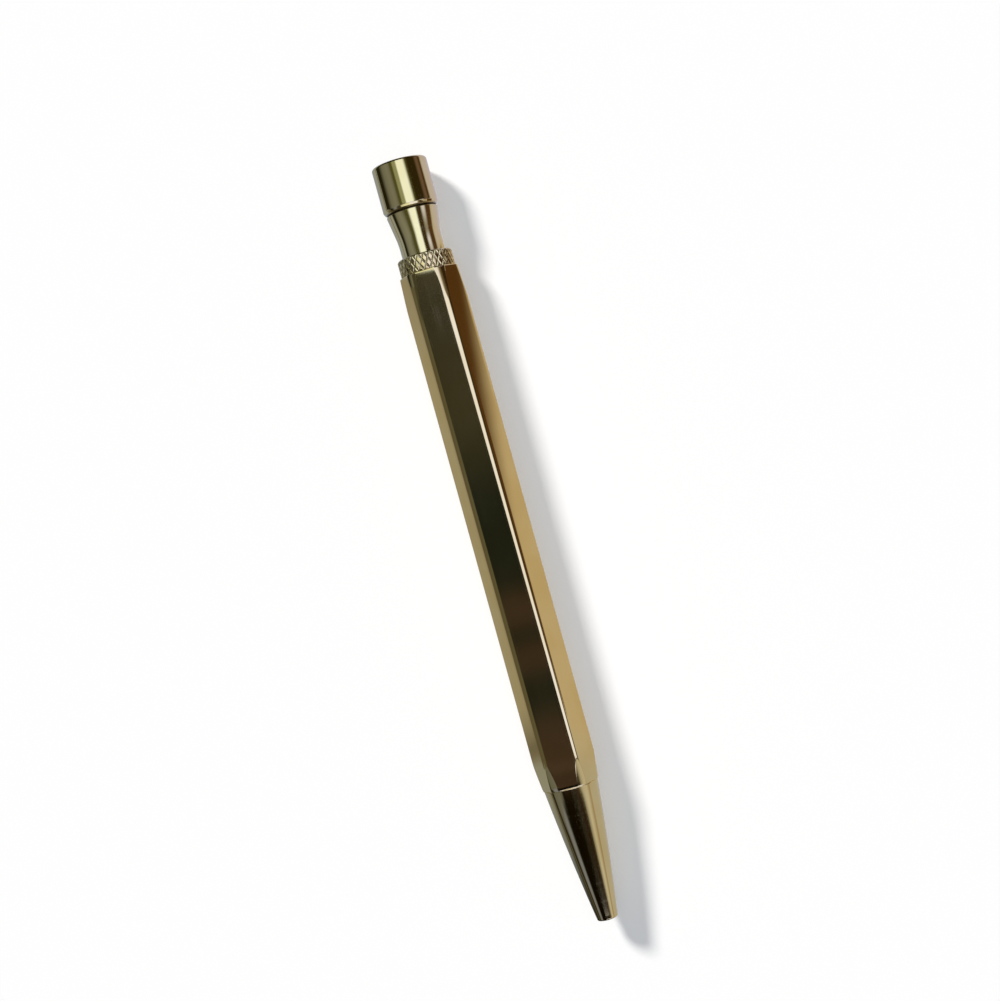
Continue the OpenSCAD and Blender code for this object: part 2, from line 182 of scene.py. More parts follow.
def grid_quads(rows: int, columns: int, loop: bool) -> np.ndarray:
    """Faces of a grid whose columns close into rings, and whose rows close too if loop.

    Args:
        rows: Number of rings.
        columns: Points in a ring.
        loop: Whether the last ring joins the first.

    Returns:
        Corner indices, four to a face, facing away from the axis where z rises by row.
    """
    i = np.arange(rows if loop else rows - 1)[:, None]
    j = np.arange(columns)[None, :]
    following, beside = (i + 1) % rows, (j + 1) % columns
    ring, after = i * columns, following * columns
    quads = np.stack([ring + j, ring + beside, after + beside, after + j], axis=-1)
    return quads.reshape(-1, 4)


def end_fans(rows: int, columns: int) -> np.ndarray:
    """Faces that close the first and last ring of a grid on two points listed after it.

    Args:
        rows: Number of rings.
        columns: Points in a ring.

    Returns:
        Corner indices, three to a face.
    """
    count, base = rows * columns, (rows - 1) * columns
    j = np.arange(columns)
    k = (j + 1) % columns
    first = np.stack([np.full(columns, count), k, j], axis=-1)
    last = np.stack([base + j, base + k, np.full(columns, count + 1)], axis=-1)
    return np.concatenate([first, last])


# How profiles are softened: the share of an edge that a corner may take, where the straight
# stretch beside it is held, in soft lengths, and the distances that count as nothing.
SOFT_LIMIT = 0.36
SOFT_HOLD = 1.3
SAME_POINT = 1e-6
TINY = 1e-9


def softened(corners: np.ndarray, loop: bool, steps: int = 5) -> tuple[np.ndarray, np.ndarray]:
    """Rounds the corners of a profile.

    A corner with a soft length s becomes a quadratic curve between the points at s along
    its two edges, with a point held a little further along each edge so that straight
    stretches shade straight. A corner with no soft length stays a point.

    Args:
        corners: Rows of z, r and soft length, going up the outside and down the bore.
        loop: Whether the profile closes on itself.
        steps: Points on each curve.

    Returns:
        The profile as rows of z and r, and the rubbed share of each of its points.
    """
    middle, soft = corners[:, :2], corners[:, 2]
    back, ahead = np.roll(middle, 1, axis=0) - middle, np.roll(middle, -1, axis=0) - middle
    back_len = np.maximum(np.linalg.norm(back, axis=1), TINY)
    ahead_len = np.maximum(np.linalg.norm(ahead, axis=1), TINY)
    back, ahead = back / back_len[:, None], ahead / ahead_len[:, None]
    if not loop:
        soft = soft * np.r_[0.0, np.ones(len(soft) - 2), 0.0]
    reach = np.minimum(soft, SOFT_LIMIT * np.minimum(back_len, ahead_len))[:, None]
    hold = SOFT_HOLD * reach
    s = np.linspace(0.0, 1.0, steps)[None, :, None]
    start, end = (middle + back * reach)[:, None], (middle + ahead * reach)[:, None]
    curve = (1 - s) ** 2 * start + 2 * s * (1 - s) * middle[:, None] + s**2 * end
    held = [(middle + back * hold)[:, None], curve, (middle + ahead * hold)[:, None]]
    points = np.concatenate(held, axis=1).reshape(-1, 2)
    convex = np.where(back[:, 0] * ahead[:, 1] - back[:, 1] * ahead[:, 0] > 0, 1.0, 0.0)
    share = np.pad(4 * s[0, :, 0] * (1 - s[0, :, 0]), 1)
    rubbed = (convex[:, None] * share[None, :] * (reach > 0)).ravel()
    fresh = np.linalg.norm(points - np.roll(points, 1, axis=0), axis=1) > SAME_POINT
    fresh[0] = True
    return points[fresh], rubbed[fresh]


def turned_surface(corners: np.ndarray, columns: int) -> Surface:
    """A softened profile carried round the axis, as on a lathe.

    A point of the profile at z and r becomes a ring of that radius. A profile that starts
    and ends on the axis is closed there by fans, and any other closes on itself.

    Args:
        corners: Rows of z, r and soft length.
        columns: Points in a ring.

    Returns:
        The closed surface.
    """
    loop = not bool((corners[:, 1] < TINY).any())
    profile, rubbed = softened(corners, loop)
    keep = profile[:, 1] > TINY
    rings = profile[keep]
    points = AXIS.place(rings[:, :1], rings[:, 1:], turns_of(columns)).reshape(-1, 3)
    rim = np.repeat(rubbed[keep], columns)
    quads = grid_quads(len(rings), columns, loop)
    if loop:
        return Surface(points, quads, rim=rim)
    ends = AXIS.place(profile[[0, -1], 0], np.zeros(2), np.zeros(2))
    fans = end_fans(len(rings), columns)
    return Surface(np.concatenate([points, ends]), quads, fans, np.r_[rim, 0.0, 0.0])


def ring_surface(z: np.ndarray, r: np.ndarray, turn: np.ndarray, rim: np.ndarray) -> Surface:
    """A ring of rings: every row closes round the axis and the last row joins the first.

    Args:
        z: Heights by row and column.
        r: Radii by row and column.
        turn: Angles by row and column, rising along each row.
        rim: Rubbed share by row and column.

    Returns:
        The closed surface, with no poles.
    """
    z, r, turn, rim = np.broadcast_arrays(z, r, turn, rim)
    points = AXIS.place(z, r, turn).reshape(-1, 3)
    return Surface(points, grid_quads(*z.shape, True), rim=rim.ravel())


@dataclass(frozen=True)
class ScrewThread:
    """The right-hand thread that the nose and the barrel share."""

    pitch: float = 0.75
    crest_r: float = 4.0
    root_r: float = 3.62
    flat: float = 0.14
    play: float = 0.08

    def radius(self, z: np.ndarray, turn: np.ndarray) -> np.ndarray:
        """Radius of the outer thread.

        The place across one turn is z over the pitch less the share of the turn. A
        triangle wave of it, cut flat near its top and bottom, runs from root to crest.

        Args:
            z: Heights.
            turn: Angles.

        Returns:
            Radii, from root_r to crest_r.
        """
        place = z / self.pitch - turn / (2 * np.pi)
        wave = np.abs(2 * (place - np.floor(place)) - 1)
        share = np.clip((wave - self.flat) / (1 - 2 * self.flat), 0, 1)
        return self.root_r + (self.crest_r - self.root_r) * share


THREAD = ScrewThread()


# Finishes


# Places of a Mix node's colour sockets, which share their names with its other sockets.
MIX_FIRST, MIX_SECOND, MIX_RESULT = 6, 7, 2
# Range of the colour bands that run round the pen, in degrees from straight up.
BAND_TURNS: Stretch = (-105.0, 105.0)


class NodeBench:
    """Adds nodes to one node tree and wires them."""

    def __init__(self, tree: bpy.types.NodeTree) -> None:
        """Keeps the tree and clears it."""
        self.tree = tree
        tree.nodes.clear()

    def feed(self, socket: Socket, value: Feed) -> None:
        """Wires an input to an output, or sets its value.

        Args:
            socket: The input.
            value: An output, a number, a vector or a colour.
        """
        if isinstance(value, Socket):
            self.tree.links.new(value, socket)
        elif socket.type == "RGBA":
            socket.default_value = (*value, 1.0)
        else:
            socket.default_value = value

    def add(
        self,
        kind: str,
        settings: dict[str, object] | None = None,
        terms: tuple[Feed, ...] = (),
        **values: Feed,
    ) -> bpy.types.Node:
        """Adds a node.

        Args:
            kind: Blender's node type.
            settings: Properties of the node.
            terms: Its first inputs, in order.
            values: Inputs by name, with underscores for spaces.

        Returns:
            The node.
        """
        node = self.tree.nodes.new(kind)
        for key, value in (settings or {}).items():
            setattr(node, key, value)
        for place, value in enumerate(terms):
            self.feed(node.inputs[place], value)
        for key, value in values.items():
            self.feed(node.inputs[key.replace("_", " ")], value)
        return node

    def math(self, operation: str, *terms: Feed) -> Socket:
        """Adds a Math node on its terms and returns its output."""
        return self.add("ShaderNodeMath", {"operation": operation}, terms).outputs[0]

    def times(self, *terms: Feed) -> Socket:
        """Multiplies two or more terms and returns the product."""
        return reduce(lambda product, term: self.math("MULTIPLY", product, term), terms)

    def noise(self, where: Feed, scale: Feed, detail: float = 2.0) -> Socket:
        """Adds a noise texture at a place and returns its value."""
        values = {"Vector": where, "Scale": scale, "Detail": detail}
        return self.add("ShaderNodeTexNoise", **values).outputs["Fac"]

    def ramp(
        self, value: Feed, low: float, high: float, to_low: float = 0.0, to_high: float = 1.0
    ) -> Socket:
        """Adds a Map Range node with soft ends.

        Args:
            value: What it reads.
            low: Start of the range that it reads.
            high: End of that range.
            to_low: What it gives up to the start.
            to_high: What it gives past the end.

        Returns:
            The node's output.
        """
        settings = {"interpolation_type": "SMOOTHSTEP"}
        sizes = {"From_Min": low, "From_Max": high, "To_Min": to_low, "To_Max": to_high}
        return self.add("ShaderNodeMapRange", settings, Value=value, **sizes).outputs["Result"]

    def window(self, value: Feed, rise: Stretch, fall: Stretch) -> Socket:
        """A mask that comes in over one stretch of a value and goes out over another."""
        return self.times(self.ramp(value, *rise), self.ramp(value, *fall, 1.0, 0.0))

    def mix(self, share: Feed, first: Feed, second: Feed) -> Socket:
        """Adds a colour Mix node.

        Args:
            share: How much of the second colour there is.
            first: One colour.
            second: The other.

        Returns:
            The mixed colour.
        """
        node = self.add("ShaderNodeMix", {"data_type": "RGBA"}, (share,))
        self.feed(node.inputs[MIX_FIRST], first)
        self.feed(node.inputs[MIX_SECOND], second)
        return node.outputs[MIX_RESULT]

    def shade(self, share: Feed, first: Socket, second: Socket) -> Socket:
        """Adds a Mix Shader node and returns its output."""
        return self.add("ShaderNodeMixShader", terms=(share, first, second)).outputs[0]

    def bands(self, value: Feed, stops: Bands, ends: Stretch = BAND_TURNS) -> Socket:
        """Adds a colour ramp over a range.

        Args:
            value: Socket with the place in the range.
            stops: Places with their colours and the colours' levels, in rising order.
            ends: The range.

        Returns:
            The ramp's colour, straight between two stops.
        """
        low, high = ends
        share = self.add("ShaderNodeMapRange", Value=value, From_Min=low, From_Max=high)
        node = self.add("ShaderNodeValToRGB", Fac=share.outputs["Result"])
        ramp = node.color_ramp.elements
        ramp.remove(ramp[1])
        for place, (where, colour, level) in enumerate(stops):
            at = (where - low) / (high - low)
            stop = ramp[0] if place == 0 else ramp.new(at)
            stop.position, stop.color = at, (*(level * part for part in colour), 1.0)
        return node.outputs["Color"]


def new_material(name: str) -> tuple[bpy.types.Material, NodeBench]:
    """Makes a node material with nothing in it yet.

    Args:
        name: Name of the material.

    Returns:
        The material, and a bench for its nodes.
    """
    made = bpy.data.materials.new(name)
    made.use_nodes = True
    return made, NodeBench(made.node_tree)


class SurfaceEffect(Enum):
    """The effects that several finishes share, each one shader node group."""

    POLISH_MARKS = "polish_marks"
    TONE_DRIFT = "tone_drift"
    RIM_RUB = "rim_rub"
    FINE_DUST = "fine_dust"

    def group(self) -> bpy.types.NodeTree:
        """The effect's node group, built on first use.

        Returns:
            A shader node tree with named sockets.
        """
        made = bpy.data.node_groups.get(self.value)
        if made is not None:
            return made
        bench = NodeBench(bpy.data.node_groups.new(self.value, "ShaderNodeTree"))
        builders = {
            SurfaceEffect.POLISH_MARKS: self._polish_marks,
            SurfaceEffect.TONE_DRIFT: self._tone_drift,
            SurfaceEffect.RIM_RUB: self._rim_rub,
            SurfaceEffect.FINE_DUST: self._fine_dust,
        }
        builders[self](bench)
        return bench.tree

    @staticmethod
    def _sockets(
        bench: NodeBench, setting: str, kind: str, gives: tuple[str, ...]
    ) -> tuple[Socket, Socket]:
        """Makes the group's inputs, a place and one setting, and its outputs.

        Args:
            bench: The group's bench.
            setting: Name of the setting.
            kind: Kind of the setting.
            gives: Names of the outputs.

        Returns:
            The place and the setting, inside the group.
        """
        sockets = bench.tree.interface
        sockets.new_socket("Vector", in_out="INPUT", socket_type="NodeSocketVector")
        sockets.new_socket(setting, in_out="INPUT", socket_type=kind)
        for name in gives:
            sockets.new_socket(name, in_out="OUTPUT", socket_type="NodeSocketFloat")
        given = bench.add("NodeGroupInput").outputs
        return given["Vector"], given[setting]

    @classmethod
    def _polish_marks(cls, bench: NodeBench) -> None:
        """Hairlines: noise stretched by Stretch, as a mask and as a height.

        Args:
            bench: The group's bench.
        """
        sockets = cls._sockets(bench, "Stretch", "NodeSocketVector", ("Mask", "Height"))
        spread = bench.add("ShaderNodeVectorMath", {"operation": "MULTIPLY"}, sockets).outputs[0]
        values = {"Vector": spread, "Scale": 1.0, "Detail": 5.0, "Roughness": 0.62}
        noise = bench.add("ShaderNodeTexNoise", **values).outputs["Fac"]
        bench.add("NodeGroupOutput", Mask=bench.ramp(noise, 0.46, 0.72), Height=noise)

    @classmethod
    def _tone_drift(cls, bench: NodeBench) -> None:
        """Slow drift of tone: soft noise from 0 to 1, with a height of its own.

        Args:
            bench: The group's bench.
        """
        where, scale = cls._sockets(bench, "Scale", "NodeSocketFloat", ("Share", "Height"))
        noise = bench.noise(where, scale)
        bench.add("NodeGroupOutput", Share=bench.ramp(noise, 0.3, 0.7), Height=noise)

    @classmethod
    def _rim_rub(cls, bench: NodeBench) -> None:
        """Rubbed rims: the rim share broken up by fine noise.

        Args:
            bench: The group's bench.
        """
        where, rim = cls._sockets(bench, "Rim", "NodeSocketFloat", ("Mask",))
        broken = bench.times(bench.noise(where, 900.0, 3.0), rim)
        bench.add("NodeGroupOutput", Mask=bench.ramp(broken, 0.18, 0.7))

    @classmethod
    def _fine_dust(cls, bench: NodeBench) -> None:
        """Sparse specks: the hearts of cells, kept where a slow noise is high.

        Args:
            bench: The group's bench.
        """
        where, scale = cls._sockets(bench, "Scale", "NodeSocketFloat", ("Mask",))
        cells = bench.add("ShaderNodeTexVoronoi", Vector=where, Scale=scale)
        speck = bench.ramp(cells.outputs["Distance"], 0.16, 0.05)
        kept = bench.ramp(bench.noise(where, 160.0), 0.52, 0.72)
        bench.add("NodeGroupOutput", Mask=bench.times(speck, kept))


class Grain(Enum):
    """Which way a finish's hairlines run, as cycles to a metre along X, Y and Z."""

    ALONG = (30.0, 2600.0, 2600.0)
    AROUND = (5200.0, 60.0, 60.0)
    EVEN = (1500.0, 1500.0, 1500.0)


@dataclass(frozen=True)
class Finish:
    """One finish: two tones that drift, hairlines, rubbed rims, specks of dust, and painted shade
    where the rim share falls below nothing.
    """

    name: str
    slot: str
    deep: Colour
    pale: Colour
    rubbed: Colour
    smooth: float
    rough: float
    metallic: float = 0.0
    grain: Grain = Grain.EVEN
    drift_scale: float = 140.0
    relief: float = 2e-6
    hairline_height: float = 0.12
    rub_rough: float = 0.12
    dust: float = 0.1
    dust_scale: float = 900.0
    dust_colour: Colour = (0.46, 0.42, 0.36)
    # Colour and extra roughness of the painted shade in grooves.
    grime_colour: Colour = (0.03, 0.022, 0.01)
    grime_rough: float = 0.4
    coat: float = 0.0

    def material(self) -> bpy.types.Material:
        """The finish's material, built on first use.

        Returns:
            A node material on Object coordinates and the piece's own rim share.
        """
        made = bpy.data.materials.get(self.name)
        if made is not None:
            return made
        made, bench = new_material(self.name)
        where = bench.add("ShaderNodeTexCoord").outputs["Object"]
        rim = bench.add("ShaderNodeAttribute", {"attribute_name": "rim"}).outputs["Fac"]
        marks = self._effect(bench, SurfaceEffect.POLISH_MARKS, where, Stretch=self.grain.value)
        drift = self._effect(bench, SurfaceEffect.TONE_DRIFT, where, Scale=self.drift_scale)
        rub = self._effect(bench, SurfaceEffect.RIM_RUB, where, Rim=rim)["Mask"]
        dust = self._effect(bench, SurfaceEffect.FINE_DUST, where, Scale=self.dust_scale)["Mask"]
        dust = bench.times(dust, self.dust)
        # Painted shade: where the rim share is below nothing, the colour darkens and the roughness
        # rises.
        grime = bench.math("MAXIMUM", bench.times(rim, -1.0), 0.0)
        colour = bench.mix(drift["Share"], self.deep, self.pale)
        for share, tone in (
            (rub, self.rubbed), (dust, self.dust_colour), (grime, self.grime_colour)
        ):
            colour = bench.mix(share, colour, tone)
        hairline = bench.times(marks["Mask"], drift["Share"])
        gloss = bench.ramp(hairline, 0.0, 1.0, self.smooth, self.rough)
        for share, rough in (
            (bench.math("ADD", rub, dust), self.rub_rough), (grime, self.grime_rough)
        ):
            gloss = bench.math("ADD", gloss, bench.times(share, rough))
        fine = bench.times(marks["Height"], self.hairline_height)
        height = bench.math("ADD", fine, drift["Height"])
        bump = bench.add("ShaderNodeBump", Strength=1.0, Distance=self.relief, Height=height)
        shader = bench.add(
            "ShaderNodeBsdfPrincipled",
            Base_Color=colour,
            Roughness=gloss,
            Metallic=self.metallic,
            Normal=bump.outputs["Normal"],
            Coat_Weight=self.coat,
        )
        bench.add("ShaderNodeOutputMaterial", Surface=shader.outputs["BSDF"])
        return made

    @staticmethod
    def _effect(
        bench: NodeBench, effect: SurfaceEffect, where: Socket, **setting: Feed
    ) -> bpy.types.NodeOutputs:
        """Places a shared effect in a material and returns its outputs."""
        settings = {"node_tree": effect.group()}
        return bench.add("ShaderNodeGroup", settings, Vector=where, **setting).outputs


GOLD_TONES = {
    "slot": "gold_metal",
    "deep": (0.85, 0.65, 0.30),
    "pale": (0.89, 0.70, 0.35),
    "rubbed": (0.94, 0.81, 0.52),
    "metallic": 1.0,
    "dust": 0.05,
}
GOLD_BAR = Finish(
    "gold_polished_bar", smooth=0.07, rough=0.11, grain=Grain.ALONG, relief=1.5e-6, **GOLD_TONES
)
GOLD_TURNED = Finish(
    "gold_turned", smooth=0.08, rough=0.13, grain=Grain.AROUND, relief=1.0e-6, **GOLD_TONES
)
GOLD_KNURL = Finish("gold_knurled", smooth=0.1, rough=0.18, relief=1.0e-6, **GOLD_TONES)
RUBBER = Finish(
    "seal_rubber", "seal_rubber",
    deep=(0.018, 0.018, 0.019), pale=(0.03, 0.03, 0.031), rubbed=(0.06, 0.06, 0.06),
    smooth=0.45, rough=0.62, relief=6e-6, dust=0.3,
)
WHITE_PLASTIC = Finish(
    "plastic_white_moulded", "white_plastic",
    deep=(0.80, 0.79, 0.74), pale=(0.87, 0.86, 0.82), rubbed=(0.90, 0.90, 0.87),
    smooth=0.26, rough=0.4, relief=3e-6, dust=0.15,
)
GREY_PLASTIC = Finish(
    "plastic_grey_moulded", "grey_plastic",
    deep=(0.33, 0.35, 0.38), pale=(0.40, 0.42, 0.45), rubbed=(0.5, 0.52, 0.54),
    smooth=0.36, rough=0.52, relief=3e-6, dust=0.2,
)
STEEL_DRAWN = Finish(
    "steel_drawn", "steel",
    deep=(0.60, 0.61, 0.63), pale=(0.70, 0.71, 0.72), rubbed=(0.8, 0.8, 0.8),
    smooth=0.16, rough=0.3, metallic=1.0, grain=Grain.ALONG,
)
STEEL_BALL = Finish(
    "steel_ball", "steel",
    deep=(0.58, 0.59, 0.61), pale=(0.68, 0.69, 0.70), rubbed=(0.8, 0.8, 0.8),
    smooth=0.1, rough=0.2, metallic=1.0, relief=4e-7,
)
BRASS_TURNED = Finish(
    "brass_turned", "refill_brass",
    deep=(0.66, 0.52, 0.27), pale=(0.78, 0.64, 0.36), rubbed=(0.88, 0.78, 0.52),
    smooth=0.16, rough=0.28, metallic=1.0, grain=Grain.AROUND,
)
INK = Finish(
    "ink_column", "ink",
    deep=(0.006, 0.009, 0.05), pale=(0.012, 0.018, 0.085), rubbed=(0.02, 0.03, 0.12),
    smooth=0.08, rough=0.16, coat=0.6, dust=0.0,
)


# Pieces


def seat(piece: bpy.types.Object, body: str, finish: Finish, *nodes: str) -> None:
    """Dresses a new piece, sets it on its body and lets it stand for CAD nodes.

    Args:
        piece: The piece, in place.
        body: CAD body that it moves with.
        finish: Its finish.
        nodes: CAD nodes that it stands for.
    """
    piece.data.materials.append(finish.material())
    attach(piece, body)
    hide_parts(*nodes)
    faces = len(piece.data.polygons)
    LOG.info("%s: %d faces, %s, on %s", piece.name, faces, finish.name, body)


def dress_node(node: str, finish: Finish) -> None:
    """Gives a carried-over CAD node its finish.

    Args:
        node: Name of the node.
        finish: Its finish.
    """
    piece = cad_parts[node]
    if not piece.material_slots:
        piece.data.materials.append(finish.material())
    piece.material_slots[0].material = finish.material()
    LOG.info("%s: carried over, %s", node, finish.name)


# Columns over half a flat and over half a corner of the barrel, as shares of each, and the
# rows of its rims, as angles of a quarter ellipse. All are closest where the surface bends.
FLAT_COLUMNS = np.array([0, 0.3, 0.6, 0.82, 0.94, 0.985, 1.0])
CORNER_COLUMNS = np.r_[0.02, np.linspace(0, 1, 15)[1:]]
RIM_ARC = np.radians([0, 6, 12, 18, 25, 33, 42, 52, 64, 77, 90])


@dataclass
class Barrel:
    """The hexagonal barrel: corners rounded, and turned down at both ends; bored and threaded.

    The two mouths are the rounded edges of the bores, as depths and widenings.
    """

    flats: float = 9.8
    sides: int = 6
    corner_run: float = 0.94
    corner_hold: float = 0.851
    corner_points: int = 400
    front_z: float = AXIS.nose_len
    rear_z: float = AXIS.barrel_end_z
    front_trim_r: float = 4.95
    front_trim_len: float = 4.8
    rear_trim_r: float = 5.18
    rear_trim_len: float = 6.0
    trim_blend: float = 0.02
    front_draw: float = 0.05
    front_draw_len: float = 6.0
    front_rim: float = 0.06
    front_rim_len: float = 0.7
    rear_rim: float = 0.08
    rear_rim_len: float = 0.32
    crest_width: float = 0.06
    crest_rub: float = 0.35
    plain_from: float = 8.0
    row_gap: float = 0.1
    row_lap: float = 0.3
    front_rows: int = 36
    plain_rows: int = 30
    rear_rows: int = 30
    recess_r: float = 4.54
    recess_end_z: float = 24.6
    thread_end_z: float = 30.75
    thread_gap: float = 0.3
    thread_lead: float = 0.35
    thread_run_out: float = 0.5
    thread_rows: int = 120
    bore_r: float = 3.6
    step_z: float = 106.888
    rear_bore_r: float = 4.33889
    bevel: float = 0.05
    fine_bevel: float = 0.03
    recess_bevel: float = 0.04
    mouth_play: float = 0.02
    rear_mouth: tuple[Stretch, ...] = ((0.0, 0.12), (0.02, 0.04), (0.1, 0.0))
    front_mouth: tuple[Stretch, ...] = ((0.08, 0.0), (0.01, 0.04), (0.0, 0.1))

    @property
    def _clear_r(self) -> float:
        """Radius of the bore just past the crests of the nose's thread."""
        return THREAD.crest_r + THREAD.play

    @property
    def _widest_r(self) -> float:
        """Radius at the mouth of the threaded bore."""
        return self._clear_r + self.mouth_play

    @property
    def _half_side(self) -> float:
        """Angle from the middle of a flat to the middle of a corner."""
        return math.pi / self.sides

    @property
    def _tangent(self) -> float:
        """Angle off the middle of a flat at which the flat ends and the corner starts."""
        half = self.flats / 2
        return math.atan2(half * math.tan(self._half_side) - self.corner_run, half)

    def _section(self, off: np.ndarray) -> np.ndarray:
        """Radius of the buffed hexagon at an angle off the middle of a flat.

        On the flat it is half the flats over the cosine. Past it, it follows a cubic curve
        from one flat to the next. The curve starts a run before the sharp corner, and its
        two handles reach most of the way to it, so that the flats roll off softly.

        Args:
            off: Angles, from minus to plus a twelfth of a turn.

        Returns:
            Radii.
        """
        half, side = self.flats / 2, 2 * self._half_side
        sharp = np.array([half, half * math.tan(self._half_side)])
        start = sharp - self.corner_run * np.array([0.0, 1.0])
        end = sharp + self.corner_run * np.array([-math.sin(side), math.cos(side)])
        first = start + self.corner_hold * (sharp - start)
        second = end + self.corner_hold * (sharp - end)
        u = np.linspace(0, 0.5, self.corner_points)[:, None]
        v = 1 - u
        x, y = (v**3 * start + 3 * u * v**2 * first + 3 * u**2 * v * second + u**3 * end).T
        corner = np.interp(np.abs(off), np.arctan2(y, x), np.hypot(x, y))
        return np.where(np.abs(off) <= self._tangent, half / np.cos(off), corner)

    def _trim(self, z: np.ndarray) -> np.ndarray:
        """Radius that the corners are turned down to: straight cones that open from both ends.

        Args:
            z: Heights.

        Returns:
            Radii, the lesser of the two cones.
        """
        crest = float(self._section(np.array(self._half_side)))
        front = (z - self.front_z) / self.front_trim_len
        rear = (self.rear_z - z) / self.rear_trim_len
        return np.minimum(
            self.front_trim_r + (crest - self.front_trim_r) * front,
            self.rear_trim_r + (crest - self.rear_trim_r) * rear,
        )

    def _draw(self, z: np.ndarray) -> np.ndarray:
        """Share of the full hexagon left at a height: it draws in by a parabola at the front."""
        near = np.clip(1 - (z - self.front_z) / self.front_draw_len, 0, 1)
        return 1 - self.front_draw * near**2

    def _offsets(self, z: np.ndarray) -> np.ndarray:
        """Angles off the flats for each row, with columns that follow the edge of the flat.

        Args:
            z: Heights of the rows.

        Returns:
            Angles by row and column over one side of the hexagon.
        """
        ends = np.arccos(np.clip(self.flats / 2 * self._draw(z) / self._trim(z), -1, 1))
        edge = np.minimum(ends, self._tangent)[:, None]
        flat, corner = edge * FLAT_COLUMNS, edge + (self._half_side - edge) * CORNER_COLUMNS
        half = np.concatenate([flat, corner], axis=1)
        return np.concatenate([-half[:, -2:0:-1], half], axis=1)

    def _outer(self, z: np.ndarray, sunk: np.ndarray) -> tuple[np.ndarray, ...]:
        """Radii, angles and rubbed shares of outer rows.

        The radius is a soft minimum of the rounded hexagon and the trim, less what the
        rounded rim takes off.

        Args:
            z: Heights of the rows.
            sunk: What each row loses to the rounded rim.

        Returns:
            Radii, angles and rubbed shares by row and column.
        """
        off, blend = self._offsets(z), self.trim_blend
        section, trim = self._section(off) * self._draw(z)[:, None], self._trim(z)[:, None]
        share = np.clip(0.5 + (trim - section) / (2 * blend), 0, 1)
        r = trim * (1 - share) + section * share - blend * share * (1 - share)
        r = np.where(trim > section + blend, section, r) - sunk[:, None]
        crest = np.exp(-(((np.abs(off) - self._half_side) / self.crest_width) ** 2))
        rim = np.maximum(self.crest_rub * crest, (sunk / self.front_rim)[:, None])
        middles = 2 * self._half_side * np.arange(self.sides)[None, :, None]
        turn = (middles + off[:, None, :]).reshape(len(z), -1)
        return np.tile(r, (1, self.sides)), turn, np.tile(rim, (1, self.sides))

    def _outside(self) -> tuple[np.ndarray, ...]:
        """Works out the outer rows from the front rim to the rear rim.

        Each rim is a quarter of a long, shallow ellipse.

        Returns:
            Heights by row, and radii, angles and rubbed shares by row and column.
        """
        front_rim_z, rear_rim_z = self.front_z + self.front_rim_len, self.rear_z - self.rear_rim_len
        draw_z, trim_z = self.front_z + self.front_draw_len, self.rear_z - self.rear_trim_len
        along, sunk = 1 - np.cos(RIM_ARC), 1 - np.sin(RIM_ARC)
        rows = [
            np.linspace(front_rim_z + self.row_gap, draw_z + self.row_lap, self.front_rows),
            np.linspace(
                self.front_z + self.plain_from, self.rear_z - self.plain_from, self.plain_rows
            ),
            np.linspace(trim_z - self.row_lap, rear_rim_z - self.row_gap, self.rear_rows),
        ]
        front, rear = self.front_rim_len * along, self.rear_rim_len * along[::-1]
        z = np.concatenate([self.front_z + front, *rows, self.rear_z - rear])
        plain = np.zeros(sum(map(len, rows)))
        sunk = np.concatenate([self.front_rim * sunk, plain, self.rear_rim * sunk[::-1]])
        return z, *self._outer(z, sunk)

    def _threaded(self, turn: np.ndarray) -> tuple[np.ndarray, np.ndarray]:
        """Works out the threaded bore from its end to its mouth.

        The radius is the shared thread's plus its play, opened by a cone of 45 degrees at
        the mouth and another at its end.

        Args:
            turn: Angles of the columns.

        Returns:
            Heights by row, and radii by row and column.
        """
        low, high = self.recess_end_z + self.thread_gap, self.thread_end_z - self.thread_lead
        z = np.linspace(high, low, self.thread_rows)[:, None]
        lead_in = self._widest_r - (z - self.recess_end_z - self.thread_lead)
        run_out = self._clear_r - (self.thread_end_z - self.thread_run_out - z)
        r = np.maximum(THREAD.radius(z, turn) + THREAD.play, np.maximum(lead_in, run_out))
        return z[:, 0], np.minimum(r, self._widest_r)

    def build(self) -> Surface:
        """Works out the barrel.

        Rows go up the outside from the front rim, across the rear face, down the bores
        and the thread, and back across the front face. The rear bore keeps the columns of
        the rear rim, and what lies before it those of the front rim.

        Returns:
            The closed surface.
        """
        z, r, turn, rim = self._outside()
        columns, front_turn, rear_turn = turn.shape[1], turn[:1], turn[-1:]
        thread_z, thread_r = self._threaded(front_turn)
        clear_r, widest_r = self._clear_r, self._widest_r
        rear = np.array([
            *((self.rear_z - depth, self.rear_bore_r + wide) for depth, wide in self.rear_mouth),
            (self.step_z + self.bevel, self.rear_bore_r),
            (self.step_z, self.rear_bore_r - self.fine_bevel),
            (self.step_z, self.bore_r + self.bevel),
            (self.step_z - self.bevel, self.bore_r),
        ])
        middle = np.array([
            (self.thread_end_z + self.bevel, self.bore_r),
            (self.thread_end_z, self.bore_r + self.bevel),
            (self.thread_end_z, clear_r - self.fine_bevel),
            (self.thread_end_z - self.fine_bevel, clear_r),
        ])
        front = np.array([
            (self.recess_end_z + self.fine_bevel, widest_r),
            (self.recess_end_z, widest_r + self.fine_bevel),
            (self.recess_end_z, self.recess_r - self.recess_bevel),
            (self.recess_end_z - self.recess_bevel, self.recess_r),
            *((self.front_z + depth, self.recess_r + wide) for depth, wide in self.front_mouth),
        ])
        before = np.concatenate([rear, middle])
        heights = np.concatenate([z, before[:, 0], thread_z, front[:, 0]])[:, None]
        radii = np.concatenate([
            r, over_columns(before[:, 1], columns), thread_r, over_columns(front[:, 1], columns)
        ])
        ahead = len(radii) - len(turn) - len(rear)
        counts = np.r_[np.ones(len(turn), int), len(rear), ahead]
        turns = np.repeat(np.concatenate([turn, rear_turn, front_turn]), counts, axis=0)
        plain = np.zeros((len(radii) - len(rim), columns))
